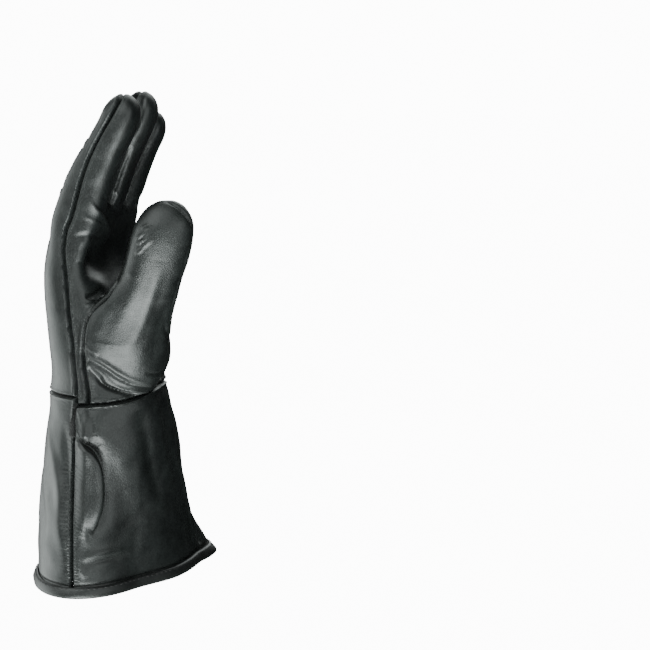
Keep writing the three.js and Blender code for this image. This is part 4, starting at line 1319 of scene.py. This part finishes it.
radial, ulnar = seam_direction(SEAM_HEIGHT, RADIAL_GUESS), seam_direction(SEAM_HEIGHT, ULNAR_GUESS)
pieces["hem_palm"] = binding("hem_palm_binding", radial + BINDING_GAP, ulnar - BINDING_GAP, 230)
pieces["hem_back"] = binding("hem_back_binding", ulnar - 360 + BINDING_GAP, radial - BINDING_GAP, 200)
print("binding:", [len(pieces[n].data.polygons) for n in ("hem_palm", "hem_back")], "faces")

# %% [markdown]
# ## Stitches
#
# The binding is sewn through just under its upper edge. One stitch is a short bead: a small
# sphere, stretched along the seam. It is modelled once, and copies with their own mesh are
# laid round the hem and joined to the binding.

# %% Stitches along the binding
STITCH_STEP = 3.6
STITCH_Z, STITCH_INSET = 6.1, -1.12   # where the stitches lie on the binding
BEAD_RADIUS = 0.5
BEAD_STRETCH = (2.4, 0.7, 0.8)        # along the seam, out of the leather, upwards
SEAM_FREE = 1                         # degrees without stitches beside a side seam


def stitches(name, start, end):
    """A row of beads along the binding, and how many there are."""
    deselect()
    bpy.ops.mesh.primitive_uv_sphere_add(segments=8, ring_count=6, radius=BEAD_RADIUS * MM)
    bead = bpy.context.object
    bead.name = name
    shape, _ = get_points(bead.data)
    degrees = np.arange(start, end, 0.25)
    run = running_length(cuff_point(STITCH_Z + 0 * degrees, degrees, STITCH_INSET + 0 * degrees))
    places = np.interp(np.arange(2, run[-1] - 1, STITCH_STEP), run, degrees)
    along, out, _ = cuff_directions(STITCH_Z + 0 * places, places)
    middles = cuff_point(STITCH_Z + 0 * places, places, STITCH_INSET + 0 * places)
    middles[:, 2] = STITCH_Z
    mesh = bmesh.new()
    for middle, run_way, out_way in zip(middles, along, out):
        copy = bead.data.copy()
        ways = np.array([run_way, out_way, (0, 0, 1)]) * np.array(BEAD_STRETCH)[:, None]
        set_points(copy, middle + shape @ ways)
        mesh.from_mesh(copy)
        bpy.data.meshes.remove(copy)
    bmesh.ops.recalc_face_normals(mesh, faces=mesh.faces)
    mesh.to_mesh(bead.data)
    mesh.free()
    return bead, len(places)


threads = {}
threads["hem_palm"], first = stitches("hem_palm_thread", radial + SEAM_FREE, ulnar - SEAM_FREE)
threads["hem_back"], second = stitches("hem_back_thread", ulnar - 360 + SEAM_FREE, radial - SEAM_FREE)
print("stitches:", first + second)

# %% [markdown]
# ## Black glove leather
#
# Nappa leather is dyed through and has a smooth, slightly uneven grain: fine pores, shallow
# creases between them, and cloudy patches where it was stretched over the last. The colour
# hardly changes; the roughness and the bump do. Everything reads the object's own
# coordinates, so the grain has its real size on every panel.

# %% Leather, binding, thread and lining
RIPPLE, WEAVE = 1.9, 0.9  # from one ripple of a pucker, and one thread of the lining, to the next


def leather(name, dark, light, rough, grain):
    finish = Finish(name)
    clouds = finish.noise(26, 3, 0.55)
    patches = finish.noise(6.5, 4, 0.6)
    pores = finish.cells(0.62)
    creases = finish.cells(1.15, "DISTANCE_TO_EDGE")
    fine = finish.noise(0.55, 3, 0.6)
    mix = fit(clouds * 0.6 + patches * 0.4, 0.35, 0.68, 0, 1)
    colour = finish.ramp(mix, dark, light)
    roughness = rough + (patches - 0.5) * 0.16 + (clouds - 0.5) * 0.12 + (fine - 0.5) * 0.10
    crease = fit(creases, 0.0, 0.22, 0, 1)
    pucker = finish.node("ShaderNodeAttribute", {"attribute_name": "pucker"}, {}, "Fac")
    ripple = (finish.axis("Z") * (2 * math.pi / (RIPPLE * MM)) + patches * 14).sine()
    height = crease * 0.5 + pores * 0.3 + fine * 0.35 + patches * 2.2 + ripple * pucker * patches * 2.4
    finish.shader.inputs["Specular IOR Level"].default_value = 0.5
    finish.shader.inputs["Coat Roughness"].default_value = 0.3
    finish.shader.inputs["Coat Weight"].default_value = 0.12
    finish.plug(base_color=colour, roughness=roughness, normal=finish.bump(height, grain, 1.0))
    return finish.material


def lining_cloth():
    finish = Finish("black_lining")
    turns = 2 * math.pi / (WEAVE * MM)
    weave = (finish.axis("X") * turns).sine() * (finish.axis("Z") * turns).sine()
    fluff = finish.noise(1.6, 4, 0.7)
    mix = fit(weave * 0.2 + fluff, 0.3, 0.8, 0, 1)
    colour = finish.ramp(mix, (0.006, 0.006, 0.006), (0.017, 0.017, 0.017))
    relief = finish.bump(weave * 0.4 + fluff, 0.12, 0.8)
    finish.plug(base_color=colour, roughness=0.8 + (fluff - 0.5) * 0.2, normal=relief)
    return finish.material


def thread():
    finish = Finish("black_thread")
    twist = finish.noise(0.4, 2, 0.5)
    colour = finish.ramp(twist, (0.008, 0.008, 0.008), (0.022, 0.022, 0.022))
    relief = finish.bump(twist, 0.08, 0.6)
    finish.plug(base_color=colour, roughness=0.55 + (twist - 0.5) * 0.2, normal=relief)
    return finish.material


glove_leather = leather("black_nappa", (0.0052, 0.0062, 0.0061), (0.0115, 0.0138, 0.0132), 0.37, 0.075)
hem_leather = leather("black_binding", (0.0045, 0.0052, 0.0051), (0.0085, 0.0098, 0.0095), 0.42, 0.06)
lining, thread_finish = lining_cloth(), thread()
print("finishes:", [m.name for m in bpy.data.materials if m.users])

# %% [markdown]
# ## Thickness, smooth shading and the panels' places
#
# Solidify gives each panel its thickness towards the inside, with the lining as its second
# material. Every piece then replaces the plain CAD solid of the same name and moves with the
# glove's one body.

# %% Finished pieces
SMOOTH_BELOW = math.radians(55)  # sharper edges than this stay sharp

for name, piece in pieces.items():
    piece.data.materials.clear()
    if name.startswith("hem"):
        piece.data.materials.append(hem_leather)
        piece.data.materials.append(thread_finish)
        bead = threads[name]
        bead.data.materials.clear()
        bead.data.materials.append(thread_finish)
        select_only(bead, piece)
        bpy.ops.object.join()
    else:
        piece.data.materials.append(glove_leather)
        piece.data.materials.append(lining)
        apply_modifier(piece, "SOLIDIFY", "thickness", thickness=LEATHER * MM, offset=-1.0,
                       use_rim=True, material_offset=1)
    select_only(piece)
    bpy.ops.object.shade_smooth_by_angle(angle=SMOOTH_BELOW)
    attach(piece, "root")
    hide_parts(name)
    print(piece.name, sum(len(p.vertices) - 2 for p in piece.data.polygons), "triangles")

# %% [markdown]
# ## Sizes
#
# The leather may stand a little proud of the CAD solids, and no more. The two boxes are
# compared here, and their differences are printed for each axis.

# %% Sizes
made_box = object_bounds()
for axis in range(3):
    beyond = [round(1000 * (made_box[k][axis] - cad_box[k][axis]), 1) for k in (0, 1)]
    print("xyz"[axis], beyond, "mm from the CAD box, at its low and high side")
